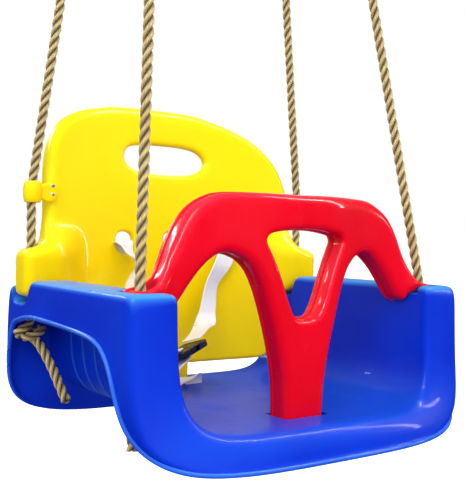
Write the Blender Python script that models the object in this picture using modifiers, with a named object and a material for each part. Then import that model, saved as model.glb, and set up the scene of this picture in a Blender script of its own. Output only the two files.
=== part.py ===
"""Toddler bucket swing: blue seat shell, yellow backrest, red guard bar, four ropes and a harness.

X runs across the seat, -Y is its front and +Z is up, in metres. The seat is drawn about the
point between its two front rope holes at floor height, and an empty moves it all so that the
origin is the point midway between the four rope eyes, where the swing hangs.
"""

import math

import bmesh
import bpy
from mathutils import Matrix, Vector

# Overall drawing constants, in metres.
HANG = Vector((0.0, 0.150, 0.640))
GAP = 0.0003
WALL = 0.0033

# Seat shell: inner channel, arms and skirts.
ARM_TOP = 0.131
SHELF_TOP = 0.105
POST_TOP = 0.124
ARM_IN = 0.1625
ARM_OUT = 0.2130
SIDE_X = 0.2137

# Ropes: where they enter the seat, how they lean and how thick they are.
ROPE = 0.011
FRONT_X = 0.1855
FRONT_Y = 0.0020
FRONT_LEAN = Vector((-0.102, 0.153, 1.0))
REAR_X = 0.1950
REAR_Y = 0.2440
REAR_LEAN = Vector((-0.130, -0.045, 1.0))
CLIP_Z = 0.2307
CLIP_TALL = 0.0245
REAR_BEND_Z = 0.2450
EYE_Z = 0.600
EYE_RISE = 0.040

# Backrest panel.
BACK_WALL = 0.004
BACK_FOOT = 0.0225
SHOULDER_TOP = 0.166
TAB_FOOT = 0.1095

# Guard bar.
GUARD_HALF = 0.014
GUARD_ROUND = 0.005
GUARD_Y = 0.0005

# Webbing.
WEB = 0.025
WEB_THICK = 0.0015


def clear_scene():
    for obj in list(bpy.data.objects):
        bpy.data.objects.remove(obj, do_unlink=True)


def collection(name, helper=False):
    made = bpy.data.collections.new(name)
    bpy.context.scene.collection.children.link(made)
    made.hide_render = helper
    return made


def material(name, colour, roughness, metallic=0.0):
    made = bpy.data.materials.new(name)
    made.use_nodes = True
    shader = made.node_tree.nodes["Principled BSDF"]
    shader.inputs["Base Color"].default_value = (*colour, 1.0)
    shader.inputs["Roughness"].default_value = roughness
    shader.inputs["Metallic"].default_value = metallic
    return made


def add_mesh(name, verts, faces, where, look=None):
    data = bpy.data.meshes.new(name)
    data.from_pydata([tuple(v) for v in verts], [], faces)
    data.validate()
    obj = bpy.data.objects.new(name, data)
    where.objects.link(obj)
    if look is not None:
        data.materials.append(look)
    return obj


def face_outward(obj):
    work = bmesh.new()
    work.from_mesh(obj.data)
    bmesh.ops.recalc_face_normals(work, faces=work.faces)
    work.to_mesh(obj.data)
    work.free()


def smooth(obj, degrees=35.0):
    for face in obj.data.polygons:
        face.use_smooth = True
    obj.data.set_sharp_from_angle(angle=math.radians(degrees))


def as_cutter(obj):
    for users in list(obj.users_collection):
        users.objects.unlink(obj)
    CUTTERS.objects.link(obj)
    obj.hide_render = True
    obj.display_type = "WIRE"
    return obj


def boolean(obj, other, operation="DIFFERENCE"):
    step = obj.modifiers.new(operation.lower() + "_" + other.name, "BOOLEAN")
    step.object = other
    step.operation = operation
    step.solver = "EXACT"
    as_cutter(other)


def box(name, low, high, where, look=None, rounding=0.0, segments=2):
    """A box between two corners, with its edges rounded when asked."""
    work = bmesh.new()
    bmesh.ops.create_cube(work, size=1.0)
    low = Vector(low)
    high = Vector(high)
    size = high - low
    bmesh.ops.scale(work, vec=size, verts=work.verts)
    bmesh.ops.translate(work, vec=(low + high) / 2, verts=work.verts)
    if rounding:
        bmesh.ops.bevel(
            work, geom=work.edges[:], offset=rounding, segments=segments, profile=0.5, affect="EDGES"
        )
    data = bpy.data.meshes.new(name)
    work.to_mesh(data)
    work.free()
    obj = bpy.data.objects.new(name, data)
    where.objects.link(obj)
    if look is not None:
        data.materials.append(look)
    return obj


def rod(name, start, end, radius, where, look=None, sides=16):
    """A straight cylinder between two points."""
    work = bmesh.new()
    start = Vector(start)
    end = Vector(end)
    turn = (end - start).to_track_quat("Z", "Y").to_matrix().to_4x4()
    place = Matrix.Translation((start + end) / 2) @ turn
    bmesh.ops.create_cone(
        work, cap_ends=True, segments=sides, radius1=radius, radius2=radius,
        depth=(end - start).length, matrix=place,
    )
    data = bpy.data.meshes.new(name)
    work.to_mesh(data)
    work.free()
    obj = bpy.data.objects.new(name, data)
    where.objects.link(obj)
    if look is not None:
        data.materials.append(look)
    return obj


def prism(name, outline, y_low, y_high, where, look=None):
    """A closed (x, z) outline pushed along Y."""
    count = len(outline)
    verts = [(x, y_low, z) for x, z in outline] + [(x, y_high, z) for x, z in outline]
    faces = [list(range(count)), list(range(2 * count - 1, count - 1, -1))]
    for i in range(count):
        faces.append([i, (i + 1) % count, count + (i + 1) % count, count + i])
    obj = add_mesh(name, verts, faces, where, look)
    face_outward(obj)
    return obj


def slot_outline(x, z, wide, tall, radius, steps=4):
    """A rounded rectangle in (x, z)."""
    points = []
    for cx, cz, start in ((1, 1, 0), (-1, 1, 90), (-1, -1, 180), (1, -1, 270)):
        for step in range(steps + 1):
            turn = math.radians(start + 90 * step / steps)
            points.append((
                x + cx * (wide / 2 - radius) + radius * math.cos(turn),
                z + cz * (tall / 2 - radius) + radius * math.sin(turn),
            ))
    return points


def tube(name, points, radius, look, resolution=2):
    """A round bar along a polyline, with closed ends."""
    data = bpy.data.curves.new(name, "CURVE")
    data.dimensions = "3D"
    line = data.splines.new("POLY")
    line.points.add(len(points) - 1)
    for spot, where in zip(line.points, points):
        spot.co = (*where, 1.0)
    data.bevel_depth = radius
    data.bevel_resolution = resolution
    data.use_fill_caps = True
    data.materials.append(look)
    obj = bpy.data.objects.new(name, data)
    PARTS.objects.link(obj)
    return obj


def swept(name, points, radius, look, sides=6):
    """A round bar along a curved polyline as a mesh, so that it can be joined to another solid."""
    verts = []
    faces = []
    side = None
    for i, here in enumerate(points):
        ahead = points[min(i + 1, len(points) - 1)]
        behind = points[max(i - 1, 0)]
        along = (ahead - behind).normalized()
        if side is None:
            side = along.orthogonal().normalized()
        side = (side - along * side.dot(along)).normalized()
        other = along.cross(side)
        for k in range(sides):
            turn = 2 * math.pi * k / sides
            verts.append(here + radius * (math.cos(turn) * side + math.sin(turn) * other))
    for i in range(len(points) - 1):
        for k in range(sides):
            a = i * sides + k
            b = i * sides + (k + 1) % sides
            faces.append([a, b, b + sides, a + sides])
    faces.append(list(range(sides))[::-1])
    last = (len(points) - 1) * sides
    faces.append([last + k for k in range(sides)])
    obj = add_mesh(name, verts, faces, PARTS, look)
    face_outward(obj)
    return obj


def ribbon(name, points, across, wide, thick, look):
    """Flat webbing along a path. Each point has its own direction across the webbing."""
    verts = []
    for i, here in enumerate(points):
        ahead = points[min(i + 1, len(points) - 1)]
        behind = points[max(i - 1, 0)]
        along = (ahead - behind).normalized()
        side = across[i] - along * across[i].dot(along)
        side = side.normalized() * wide / 2
        up = along.cross(side).normalized() * thick / 2
        verts += [here + side + up, here - side + up, here - side - up, here + side - up]
    faces = [[3, 2, 1, 0]]
    for i in range(len(points) - 1):
        for k in range(4):
            a = 4 * i + k
            b = 4 * i + (k + 1) % 4
            faces.append([a, b, b + 4, a + 4])
    last = 4 * (len(points) - 1)
    faces.append([last, last + 1, last + 2, last + 3])
    obj = add_mesh(name, verts, faces, PARTS, look)
    face_outward(obj)
    return obj


def rounded_path(points, radius, steps=3):
    """The same polyline with each corner turned on a short arc."""
    path = [points[0]]
    for before, corner, after in zip(points, points[1:], points[2:]):
        reach = min(radius, (corner - before).length / 2.2, (after - corner).length / 2.2)
        start = corner + (before - corner).normalized() * reach
        end = corner + (after - corner).normalized() * reach
        for step in range(steps + 1):
            t = step / steps
            path.append(start * (1 - t) ** 2 + corner * 2 * t * (1 - t) + end * t * t)
    path.append(points[-1])
    return path


# Seat shell --------------------------------------------------------------------------------

# Each row across the shell: y at the arm, top height of the arm there, y at the floor.
ROWS = (
    (-0.0320, ARM_TOP, -0.0480),
    (-0.0180, ARM_TOP, -0.0300),
    (0.0200, ARM_TOP, 0.0200),
    (0.1750, ARM_TOP, 0.1600),
    (0.1950, ARM_TOP, 0.2000),
    (0.2085, ARM_TOP, 0.2120),
    (0.2105, SHELF_TOP, 0.2200),
    (0.2340, SHELF_TOP, 0.2310),
    (0.2575, SHELF_TOP, 0.2420),
    (0.2595, POST_TOP, 0.2510),
    (0.2695, POST_TOP, 0.2600),
)
# Lower edge of the apron under each row, as (y, z).
APRON = (
    None,
    (0.0300, 0.0860),
    (0.0550, 0.0915),
    (0.1650, 0.0950),
    (0.1850, 0.0950),
    (0.1990, 0.0945),
    (0.2120, 0.0930),
    (0.2260, 0.0900),
    (0.2370, 0.0875),
    (0.2440, 0.0845),
    None,
)
# Outer edge of the front face under each column of the channel, as (x, y, z).
FRONT_EDGE = (
    (0.0000, -0.0690, -0.0270),
    (0.0720, -0.0690, -0.0270),
    (0.1280, -0.0650, -0.0255),
    (0.1760, -0.0550, -0.0190),
    (0.2070, -0.0420, -0.0010),
    (SIDE_X, -0.0335, 0.0450),
    (SIDE_X, -0.0320, 0.0980),
)
REAR_EDGE = (
    (0.0000, 0.2820, -0.0300),
    (0.0720, 0.2820, -0.0300),
    (0.1280, 0.2815, -0.0280),
    (0.1760, 0.2800, -0.0190),
    (0.2070, 0.2770, 0.0000),
    (SIDE_X, 0.2740, 0.0450),
    (SIDE_X, 0.2710, 0.0900),
)
# The return of the front and rear faces along the side: three loops at each column, as (x, y, z).
FRONT_RETURN = (
    ((0.0000, -0.0705, -0.0295), (0.0000, -0.0725, -0.0310), (0.0000, -0.0730, -0.0330)),
    ((0.0720, -0.0705, -0.0295), (0.0720, -0.0725, -0.0310), (0.0720, -0.0730, -0.0330)),
    ((0.1285, -0.0660, -0.0285), (0.1290, -0.0680, -0.0300), (0.1295, -0.0680, -0.0320)),
    ((0.1785, -0.0545, -0.0220), (0.1805, -0.0550, -0.0240), (0.1815, -0.0540, -0.0260)),
    ((0.2090, -0.0360, -0.0010), (0.2100, -0.0270, 0.0010), (0.2130, -0.0230, 0.0020)),
    ((SIDE_X, -0.0210, 0.0440), (SIDE_X, -0.0105, 0.0430), (0.2165, -0.0060, 0.0415)),
    ((SIDE_X, -0.0180, 0.0900), (SIDE_X, 0.0000, 0.0665), (0.2165, 0.0040, 0.0625)),
    ((SIDE_X, -0.0160, 0.1150), (SIDE_X, 0.0155, 0.0810), (0.2165, 0.0185, 0.0765)),
)
REAR_RETURN = (
    ((0.0000, 0.2835, -0.0325), (0.0000, 0.2855, -0.0340), (0.0000, 0.2860, -0.0365)),
    ((0.0720, 0.2835, -0.0325), (0.0720, 0.2855, -0.0340), (0.0720, 0.2860, -0.0365)),
    ((0.1285, 0.2825, -0.0305), (0.1290, 0.2845, -0.0325), (0.1295, 0.2850, -0.0345)),
    ((0.1780, 0.2805, -0.0220), (0.1800, 0.2820, -0.0240), (0.1815, 0.2820, -0.0260)),
    ((0.2090, 0.2740, 0.0000), (0.2100, 0.2680, 0.0010), (0.2130, 0.2650, 0.0010)),
    ((SIDE_X, 0.2680, 0.0440), (SIDE_X, 0.2620, 0.0420), (0.2165, 0.2590, 0.0400)),
    ((SIDE_X, 0.2655, 0.0860), (SIDE_X, 0.2575, 0.0640), (0.2165, 0.2545, 0.0615)),
    ((SIDE_X, 0.2620, 0.1080), (SIDE_X, 0.2510, 0.0780), (0.2165, 0.2485, 0.0745)),
)


def channel_column(row):
    """Points of one row from the middle of the floor out to the inner top corner of the arm."""
    y_arm, top, y_floor = row
    heights = (0.0, 0.0, 0.0, 0.0105, 0.040, 0.085, top - 0.0145, top)
    if top < ARM_TOP:
        heights = (0.0, 0.0, 0.0, 0.0105, 0.040, 0.072, top - 0.0100, top)
    across = (0.0, 0.070, 0.120, 0.1475, 0.1600, 0.1612, 0.1618, ARM_IN)
    share = (0.0, 0.0, 0.1, 0.4, 0.8, 1.0, 1.0, 1.0)
    points = []
    for x, z, t in zip(across, heights, share):
        points.append((x, y_floor + (y_arm - y_floor) * t, z))
    return points


def face_band(inner, edge, top_row, forward):
    """Loops from the end of the channel out to the edge of the front or rear face."""
    loops = [inner]
    for share, bulge, top in ((0.27, 0.0065, 8), (0.72, 0.0050, 9), (1.0, 0.0, 10)):
        loop = []
        for i, (a, b) in enumerate(zip(inner, edge)):
            point = Vector(a).lerp(Vector(b), share)
            low = max(0.0, 1.0 - i / 4.0)
            point += Vector((0.0, forward * bulge * low, bulge * low))
            loop.append(tuple(point))
        loop.append(top_row[top])
        loops.append(loop)
    return loops


def shell_cage():
    """The outside skin of the right half of the seat, as a coarse cage that gets smoothed."""
    verts = []
    index = {}
    faces = []

    def at(point):
        key = tuple(round(v, 6) for v in point)
        if key not in index:
            index[key] = len(verts)
            verts.append(key)
        return index[key]

    rows = []
    for row, low in zip(ROWS, APRON):
        y_arm, top, _ = row
        points = channel_column(row)
        points += [(0.1765, y_arm, top), (0.1990, y_arm, top), (ARM_OUT, y_arm, top)]
        if low:
            y_mid = y_arm + (low[0] - y_arm) * 0.45
            side = top - 0.38 * (top - low[1])
            points += [(SIDE_X, y_mid, side), (SIDE_X, low[0], low[1])]
            points.append((0.2165, low[0], low[1] - 0.0045))
        rows.append(points)
    for a, b in zip(rows, rows[1:]):
        for i in range(min(len(a), len(b)) - 1):
            faces.append([at(a[i]), at(a[i + 1]), at(b[i + 1]), at(b[i])])

    ends = (
        (rows[0], FRONT_EDGE, FRONT_RETURN, rows[1], -1.0),
        (rows[-1], REAR_EDGE, REAR_RETURN, rows[-2], 1.0),
    )
    for row, edge, back, beside, forward in ends:
        loops = face_band(row[:8], edge, row, forward)
        loops += [[station[k] for station in back] for k in range(3)]
        for a, b in zip(loops, loops[1:]):
            for i in range(7):
                faces.append([at(a[i]), at(a[i + 1]), at(b[i + 1]), at(b[i])])
        corner = [row[10]] + list(back[7])
        for k in range(3):
            faces.append([at(corner[k]), at(corner[k + 1]), at(beside[11 + k]), at(beside[10 + k])])
    return verts, faces


def seat_shell():
    verts, faces = shell_cage()
    obj = add_mesh("seat_shell", verts, faces, PARTS, BLUE)
    face_outward(obj)
    if obj.data.polygons[0].normal.z < 0:
        obj.data.flip_normals()
    mirror = obj.modifiers.new("both_sides", "MIRROR")
    mirror.use_clip = True
    mirror.merge_threshold = 0.0001
    rounding = obj.modifiers.new("rounding", "SUBSURF")
    rounding.levels = 1
    rounding.render_levels = 1
    wall = obj.modifiers.new("wall", "SOLIDIFY")
    wall.thickness = WALL
    wall.offset = -1.0
    wall.use_even_offset = True
    wall.use_quality_normals = True
    for side in (-1, 1):
        tag = "left" if side < 0 else "right"
        seat_for_lug(obj, side, tag)
        rear = rod(
            "rear_hole_" + tag, (side * REAR_X, REAR_Y, 0.090), (side * REAR_X, REAR_Y, 0.120),
            ROPE / 2 + 0.0010, CUTTERS,
        )
        boolean(obj, rear)
    boolean(obj, box("guard_socket", (-0.0285, -0.0190, -0.030), (0.0285, 0.0160, 0.020), CUTTERS))
    boolean(obj, box("leg_slot", (-0.0145, 0.2322, -0.030), (0.0145, 0.2418, 0.020), CUTTERS))
    boolean(obj, box("crotch_slot", (-0.0145, 0.1985, -0.030), (0.0145, 0.2025, 0.020), CUTTERS))
    smooth(obj)
    return obj


def seat_for_lug(shell, side, tag):
    """A thickened pad in the top of the arm, with the hollow the guard's lug lies in."""
    inner = side * 0.1665
    outer = side * 0.2080
    pad = box(
        "lug_pad_" + tag, (min(inner, outer), -0.0240, 0.1185), (max(inner, outer), 0.0290, 0.1290),
        CUTTERS,
    )
    boolean(shell, pad, "UNION")
    inner = side * 0.150
    outer = side * 0.1985
    hollow = box(
        "lug_hollow_" + tag, (min(inner, outer), -0.0165, 0.1250), (max(inner, outer), 0.0245, 0.150),
        CUTTERS,
    )
    boolean(shell, hollow)
    inner = side * 0.130
    outer = side * 0.1735
    corner = box(
        "saddle_hollow_" + tag, (min(inner, outer), -0.0165, 0.1210), (max(inner, outer), 0.0245, 0.150),
        CUTTERS,
    )
    boolean(shell, corner)
    hole = rod(
        "front_hole_" + tag, (side * FRONT_X, FRONT_Y - 0.0030, 0.105), (side * FRONT_X, FRONT_Y + 0.0010, 0.140),
        ROPE / 2 + 0.0015, CUTTERS,
    )
    boolean(shell, hole)


# Backrest ----------------------------------------------------------------------------------

# Half outline of the panel from the foot to the top, as (x, z) of the outermost edge.
BACK_SIDE = (
    (0.1300, BACK_FOOT),
    (0.1490, 0.0480),
    (0.1560, 0.0800),
    (0.1600, 0.1300),
    (0.1800, 0.1700),
    (0.1800, 0.2050),
    (0.1775, 0.2450),
    (0.1700, 0.2820),
    (0.1520, 0.3160),
)
BACK_TOP = ((0.0000, 0.3480), (0.0500, 0.3470), (0.1000, 0.3400), (0.1300, 0.3310))
BACK_SHARE = (0.0, 0.33, 0.66, 0.86)


def back_y(x, z):
    """The front surface of the panel: it leans back and is hollow across."""
    return 0.2365 + 0.130 * (z - 0.020) - 0.020 * (x / 0.18) ** 2


def back_cage():
    """Right half of the panel's front surface, with its edge rolled to the rear."""
    rings = []
    edge = list(BACK_SIDE)
    inset = 0.0080
    rows = []
    for k, (x_out, z_out) in enumerate(edge):
        x_in = x_out - inset
        z_in = z_out
        if k == 0:
            z_in += 0.004
        if k == len(edge) - 1:
            z_in -= inset * 0.8
        row = []
        for share, top in zip(BACK_SHARE, BACK_TOP):
            z = z_in
            if k == len(edge) - 1:
                z = top[1] - inset
                row.append((top[0], z))
            elif k >= 6:
                lift = (k - 5) / 3.0
                z = z_in + (top[1] - inset - edge[-1][1] + inset * 0.8) * lift
                row.append((x_in * share * (1 - lift) + top[0] * lift, z))
            else:
                row.append((x_in * share, z))
        row.append((x_in, z_in))
        rows.append(row)
    for row in rows:
        rings.append([(x, back_y(x, z), z) for x, z in row])
    return rings


def rolled(point, out_x, out_z, deep):
    x, y, z = point
    return (x + out_x, y + deep, z + out_z)


def backrest():
    verts = []
    index = {}
    faces = []

    def at(point):
        key = tuple(round(v, 6) for v in point)
        if key not in index:
            index[key] = len(verts)
            verts.append(key)
        return index[key]

    rings = back_cage()
    for a, b in zip(rings, rings[1:]):
        for i in range(len(a) - 1):
            faces.append([at(a[i]), at(a[i + 1]), at(b[i + 1]), at(b[i])])
    # The free edge: up the side, then along the top to the middle.
    border = [ring[-1] for ring in rings] + rings[-1][-2::-1]
    normals = []
    for i in range(len(border)):
        ahead = Vector(border[min(i + 1, len(border) - 1)])
        behind = Vector(border[max(i - 1, 0)])
        along = ahead - behind
        normals.append(Vector((along.z, 0.0, -along.x)).normalized())
    normals[-1] = Vector((0.0, 0.0, 1.0))
    loops = [border]
    for out, deep in ((0.0075, 0.0030), (0.0080, 0.0190)):
        loops.append([rolled(p, n.x * out, n.z * out, deep) for p, n in zip(border, normals)])
    for a, b in zip(loops, loops[1:]):
        for i in range(len(a) - 1):
            faces.append([at(a[i]), at(a[i + 1]), at(b[i + 1]), at(b[i])])
    obj = add_mesh("backrest", verts, faces, PARTS, YELLOW)
    face_outward(obj)
    if obj.data.polygons[0].normal.y > 0:
        obj.data.flip_normals()
    mirror = obj.modifiers.new("both_sides", "MIRROR")
    mirror.use_clip = True
    mirror.merge_threshold = 0.0001
    rounding = obj.modifiers.new("rounding", "SUBSURF")
    rounding.levels = 1
    rounding.render_levels = 1
    wall = obj.modifiers.new("wall", "SOLIDIFY")
    wall.thickness = BACK_WALL
    wall.offset = -1.0
    wall.use_even_offset = True
    leg = box("back_leg", (-0.0130, 0.2345, -0.0150), (0.0130, 0.2397, 0.0400), CUTTERS)
    boolean(obj, leg, "UNION")
    for side in (-1, 1):
        tag = "left" if side < 0 else "right"
        inner = side * 0.1563
        outer = side * 0.2115
        shoulder = box(
            "shoulder_" + tag, (min(inner, outer), 0.2160, TAB_FOOT),
            (max(inner, outer), 0.2545, SHOULDER_TOP), CUTTERS, rounding=0.0095, segments=3,
        )
        boolean(obj, shoulder, "UNION")
        rear = rod(
            "shoulder_hole_" + tag, (side * REAR_X, REAR_Y, 0.095), (side * REAR_X, REAR_Y, 0.180),
            ROPE / 2 + 0.0010, CUTTERS,
        )
        boolean(obj, rear)
        for z in SCREW_Z:
            drill = rod(
                "back_pilot_" + tag + str(z), (side * SCREW_X, 0.225, z), (side * SCREW_X, 0.275, z),
                0.0017, CUTTERS, sides=10,
            )
            boolean(obj, drill)
        boolean(obj, prism(
            "strap_slot_" + tag, slot_outline(side * 0.070, 0.170, 0.026, 0.032, 0.004, 2),
            0.20, 0.30, CUTTERS,
        ))
    boolean(obj, prism(
        "strap_slot_middle", slot_outline(0.0, 0.170, 0.026, 0.032, 0.004, 2), 0.20, 0.30, CUTTERS,
    ))
    handle = [
        (0.056, 0.2860), (0.052, 0.2950), (0.040, 0.3010), (0.020, 0.3035), (0.0, 0.3040),
        (-0.020, 0.3035), (-0.040, 0.3010), (-0.052, 0.2950), (-0.056, 0.2860),
        (-0.053, 0.2750), (-0.042, 0.2670), (-0.022, 0.2650), (0.0, 0.2645),
        (0.022, 0.2650), (0.042, 0.2670), (0.053, 0.2750),
    ]
    boolean(obj, prism("handle_slot", handle, 0.20, 0.32, CUTTERS))
    smooth(obj)
    return obj


# Guard bar ---------------------------------------------------------------------------------

# Half outline from the foot up inside the arch, over the arm and back along the top.
GUARD_EDGE = (
    (0.0260, -0.0160), (0.0260, 0.0060), (0.0285, 0.0380), (0.0345, 0.0700), (0.0425, 0.1000),
    (0.0520, 0.1300), (0.0610, 0.1490), (0.0710, 0.1600), (0.0800, 0.1650), (0.0890, 0.1680),
    (0.0990, 0.1670), (0.1100, 0.1600), (0.1210, 0.1500), (0.1320, 0.1370), (0.1440, 0.1210),
    (0.1500, 0.1150), (0.1560, 0.1130), (0.1610, 0.1150), (0.1610, 0.1215), (0.1710, 0.1215),
    (0.1725, 0.1258), (0.1965, 0.1258), (0.1955, 0.1310), (0.1870, 0.1335), (0.1760, 0.1365),
    (0.1680, 0.1425), (0.1605, 0.1540), (0.1510, 0.1740), (0.1400, 0.1930), (0.1270, 0.2080),
    (0.1110, 0.2180), (0.0930, 0.2240), (0.0600, 0.2260), (0.0000, 0.2265),
)
GUARD_WINDOW = (
    (0.0000, 0.0955), (0.0080, 0.0985), (0.0150, 0.1080), (0.0230, 0.1220), (0.0310, 0.1390),
    (0.0380, 0.1560), (0.0450, 0.1710), (0.0490, 0.1790), (0.0450, 0.1855), (0.0310, 0.1900),
    (0.0150, 0.1920), (0.0000, 0.1925),
)


def guard_bow(x, z):
    """Where the bar's middle plane lies: forward at the post, swept back in its limbs."""
    limb = smoothstep((abs(x) - 0.020) / 0.100)
    lug = smoothstep((abs(x) - 0.150) / 0.020)
    rise = min(1.0, max(0.0, z / 0.100))
    return -0.0030 - 0.0015 * rise + 0.0145 * limb - 0.0070 * lug


def smoothstep(t):
    t = min(1.0, max(0.0, t))
    return t * t * (3 - 2 * t)


def both_halves(half):
    other = [(-x, z) for x, z in reversed(half) if x > 1e-6]
    return list(half) + other


def guard_bar():
    data = bpy.data.curves.new("guard_flat", "CURVE")
    data.dimensions = "2D"
    data.fill_mode = "BOTH"
    for half in (GUARD_EDGE, GUARD_WINDOW):
        outline = both_halves(half)
        line = data.splines.new("POLY")
        line.points.add(len(outline) - 1)
        line.use_cyclic_u = True
        for spot, (x, z) in zip(line.points, outline):
            spot.co = (x, z, 0.0, 1.0)
    data.extrude = GUARD_HALF - GUARD_ROUND
    data.bevel_depth = GUARD_ROUND
    data.bevel_resolution = 1
    data.offset = -GUARD_ROUND
    flat = bpy.data.objects.new("guard_flat", data)
    bpy.context.scene.collection.objects.link(flat)
    turn = Matrix.Translation((0.0, GUARD_Y, 0.0)) @ Matrix.Rotation(math.radians(90), 4, "X")
    graph = bpy.context.evaluated_depsgraph_get()
    mesh = bpy.data.meshes.new_from_object(flat.evaluated_get(graph))
    mesh.transform(turn)
    for vertex in mesh.vertices:
        vertex.co.y += guard_bow(vertex.co.x, vertex.co.z)
    bpy.data.objects.remove(flat, do_unlink=True)
    work = bmesh.new()
    work.from_mesh(mesh)
    bmesh.ops.remove_doubles(work, verts=work.verts, dist=0.00002)
    bmesh.ops.recalc_face_normals(work, faces=work.faces)
    work.to_mesh(mesh)
    work.free()
    mesh.name = "guard_bar"
    mesh.materials.clear()
    mesh.materials.append(RED)
    obj = bpy.data.objects.new("guard_bar", mesh)
    PARTS.objects.link(obj)
    for side in (-1, 1):
        tag = "left" if side < 0 else "right"
        hole = lug_hole(tag, side * (FRONT_X - 0.0060), FRONT_Y - 0.0008, 0.0250, 0.0152)
        boolean(obj, hole)
    smooth(obj)
    return obj


def lug_hole(tag, x, y, wide, deep, low=0.110, high=0.150):
    """A slot with round ends that leans back with the rope passing through it."""
    outline = slot_outline(x, y, wide, deep, deep / 2 - 0.0001, 4)
    count = len(outline)
    verts = []
    for z in (low, high):
        lean = FRONT_LEAN.y * (z - ARM_TOP)
        verts += [(a, b + lean, z) for a, b in outline]
    faces = [list(range(count)), list(range(2 * count - 1, count - 1, -1))]
    for i in range(count):
        faces.append([i, (i + 1) % count, count + (i + 1) % count, count + i])
    obj = add_mesh("lug_hole_" + tag, verts, faces, CUTTERS)
    face_outward(obj)
    return obj


# Rope guides -------------------------------------------------------------------------------

SCREW_X = 0.1680
SCREW_Z = (0.2287, 0.2385)


def plate_y():
    """Rear face of the guide's plate, clear of the panel's front surface at its nearest."""
    return back_y(0.1760, CLIP_Z - CLIP_TALL / 2) - 0.0006


def rope_guide(side, tag):
    low = CLIP_Z - CLIP_TALL / 2
    high = CLIP_Z + CLIP_TALL / 2
    centre = Vector((side * REAR_X, REAR_Y, 0.0))
    ring = rod("rope_guide_" + tag, centre + Vector((0, 0, low)), centre + Vector((0, 0, high)),
               0.0108, PARTS, YELLOW, sides=24)
    rear = plate_y()
    near = side * 0.1650
    far = side * 0.1950
    plate = box("guide_plate_" + tag, (min(near, far), rear - 0.0032, low + 0.0002),
                (max(near, far), rear, high - 0.0002), CUTTERS)
    boolean(ring, plate, "UNION")
    bore = rod("guide_bore_" + tag, centre + Vector((0, 0, low - 0.01)),
               centre + Vector((0, 0, high + 0.01)), ROPE / 2 + 0.0012, CUTTERS, sides=20)
    boolean(ring, bore)
    for z in SCREW_Z:
        drill = rod("guide_pilot_" + tag + str(z), (side * SCREW_X, 0.21, z),
                    (side * SCREW_X, 0.26, z), 0.0017, CUTTERS, sides=10)
        boolean(ring, drill)
    smooth(ring)


def screw(name, side, z):
    """A pan-head screw through the guide's plate into the panel, turned about its own axis."""
    head = plate_y() - 0.0032 - GAP
    profile = (
        (0.0000, 0.0018), (0.0014, 0.0016), (0.0024, 0.0008), (0.0025, 0.0000), (0.0013, 0.0000),
        (0.0013, -0.0100), (0.0006, -0.0125), (0.0000, -0.0132),
    )
    data = bpy.data.meshes.new(name)
    edges = [(i, i + 1) for i in range(len(profile) - 1)]
    data.from_pydata([(x, 0.0, z_up) for x, z_up in profile], edges, [])
    obj = bpy.data.objects.new(name, data)
    PARTS.objects.link(obj)
    data.materials.append(CHROME)
    turn = obj.modifiers.new("turned", "SCREW")
    turn.steps = 12
    turn.render_steps = 12
    turn.use_merge_vertices = True
    turn.merge_threshold = 0.00005
    turn.use_smooth_shade = True
    obj.location = (side * SCREW_X, head, z)
    obj.rotation_euler = (math.radians(90), 0.0, 0.0)


# Ropes -------------------------------------------------------------------------------------


def lean_point(base, lean, side, rise):
    return Vector((side * (base.x + lean.x * rise), base.y + lean.y * rise, base.z + lean.z * rise))


def rope_line(side, front):
    """Points of the taut rope from its stopper knot to its eye knot."""
    if front:
        base = Vector((FRONT_X, FRONT_Y, ARM_TOP))
        low = KNOT_FRONT_TOP
        high = EYE_Z
        return [lean_point(base, FRONT_LEAN, side, low - ARM_TOP),
                lean_point(base, FRONT_LEAN, side, high - ARM_TOP)]
    base = Vector((REAR_X, REAR_Y, REAR_BEND_Z))
    return [Vector((side * REAR_X, REAR_Y, KNOT_REAR_TOP)), lean_point(base, REAR_LEAN, side, 0.0),
            lean_point(base, REAR_LEAN, side, EYE_Z - REAR_BEND_Z)]


KNOT_FRONT_TOP = 0.1060
KNOT_REAR_TOP = 0.0860


def resample(points, spacing):
    """Points no further apart than the spacing, keeping the given ones."""
    path = [points[0]]
    for a, b in zip(points, points[1:]):
        steps = max(1, math.ceil((b - a).length / spacing))
        for step in range(1, steps + 1):
            path.append(a.lerp(b, step / steps))
    return path


def lump(name, centre, size, where, look=None):
    """A knot as a rounded lump."""
    work = bmesh.new()
    bmesh.ops.create_uvsphere(work, u_segments=10, v_segments=6, radius=1.0)
    bmesh.ops.scale(work, vec=size, verts=work.verts)
    bmesh.ops.translate(work, vec=centre, verts=work.verts)
    data = bpy.data.meshes.new(name)
    work.to_mesh(data)
    work.free()
    obj = bpy.data.objects.new(name, data)
    where.objects.link(obj)
    if look is not None:
        data.materials.append(look)
    return obj


def eye(name, top, along):
    """The knot at the upper end of a rope with the eye it closes."""
    knot = top + along * (0.0130 + GAP)
    obj = lump(name, knot, (0.0125, 0.0115, 0.0130), PARTS, ROPE_LOOK)
    middle = knot + along * (0.0115 + EYE_RISE / 2)
    side = Vector((0.0, 1.0, 0.0))
    side = (side - along * side.dot(along)).normalized()
    points = []
    for step in range(12):
        turn = math.radians(-160 + 320 * step / 11)
        points.append(middle + along * math.cos(turn) * EYE_RISE / 2 + side * math.sin(turn) * 0.0165)
    points = [knot + side * -0.003] + points + [knot + side * 0.003]
    loop = swept(name + "_loop", points, ROPE / 2, ROPE_LOOK)
    boolean(obj, loop, "UNION")
    smooth(obj, 60)


def stopper(name, centre, size, tail):
    """The knot under the seat with its tail."""
    obj = lump(name, centre, size, PARTS, ROPE_LOOK)
    boolean(obj, swept(name + "_tail", tail, ROPE / 2, ROPE_LOOK), "UNION")
    smooth(obj, 60)


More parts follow.
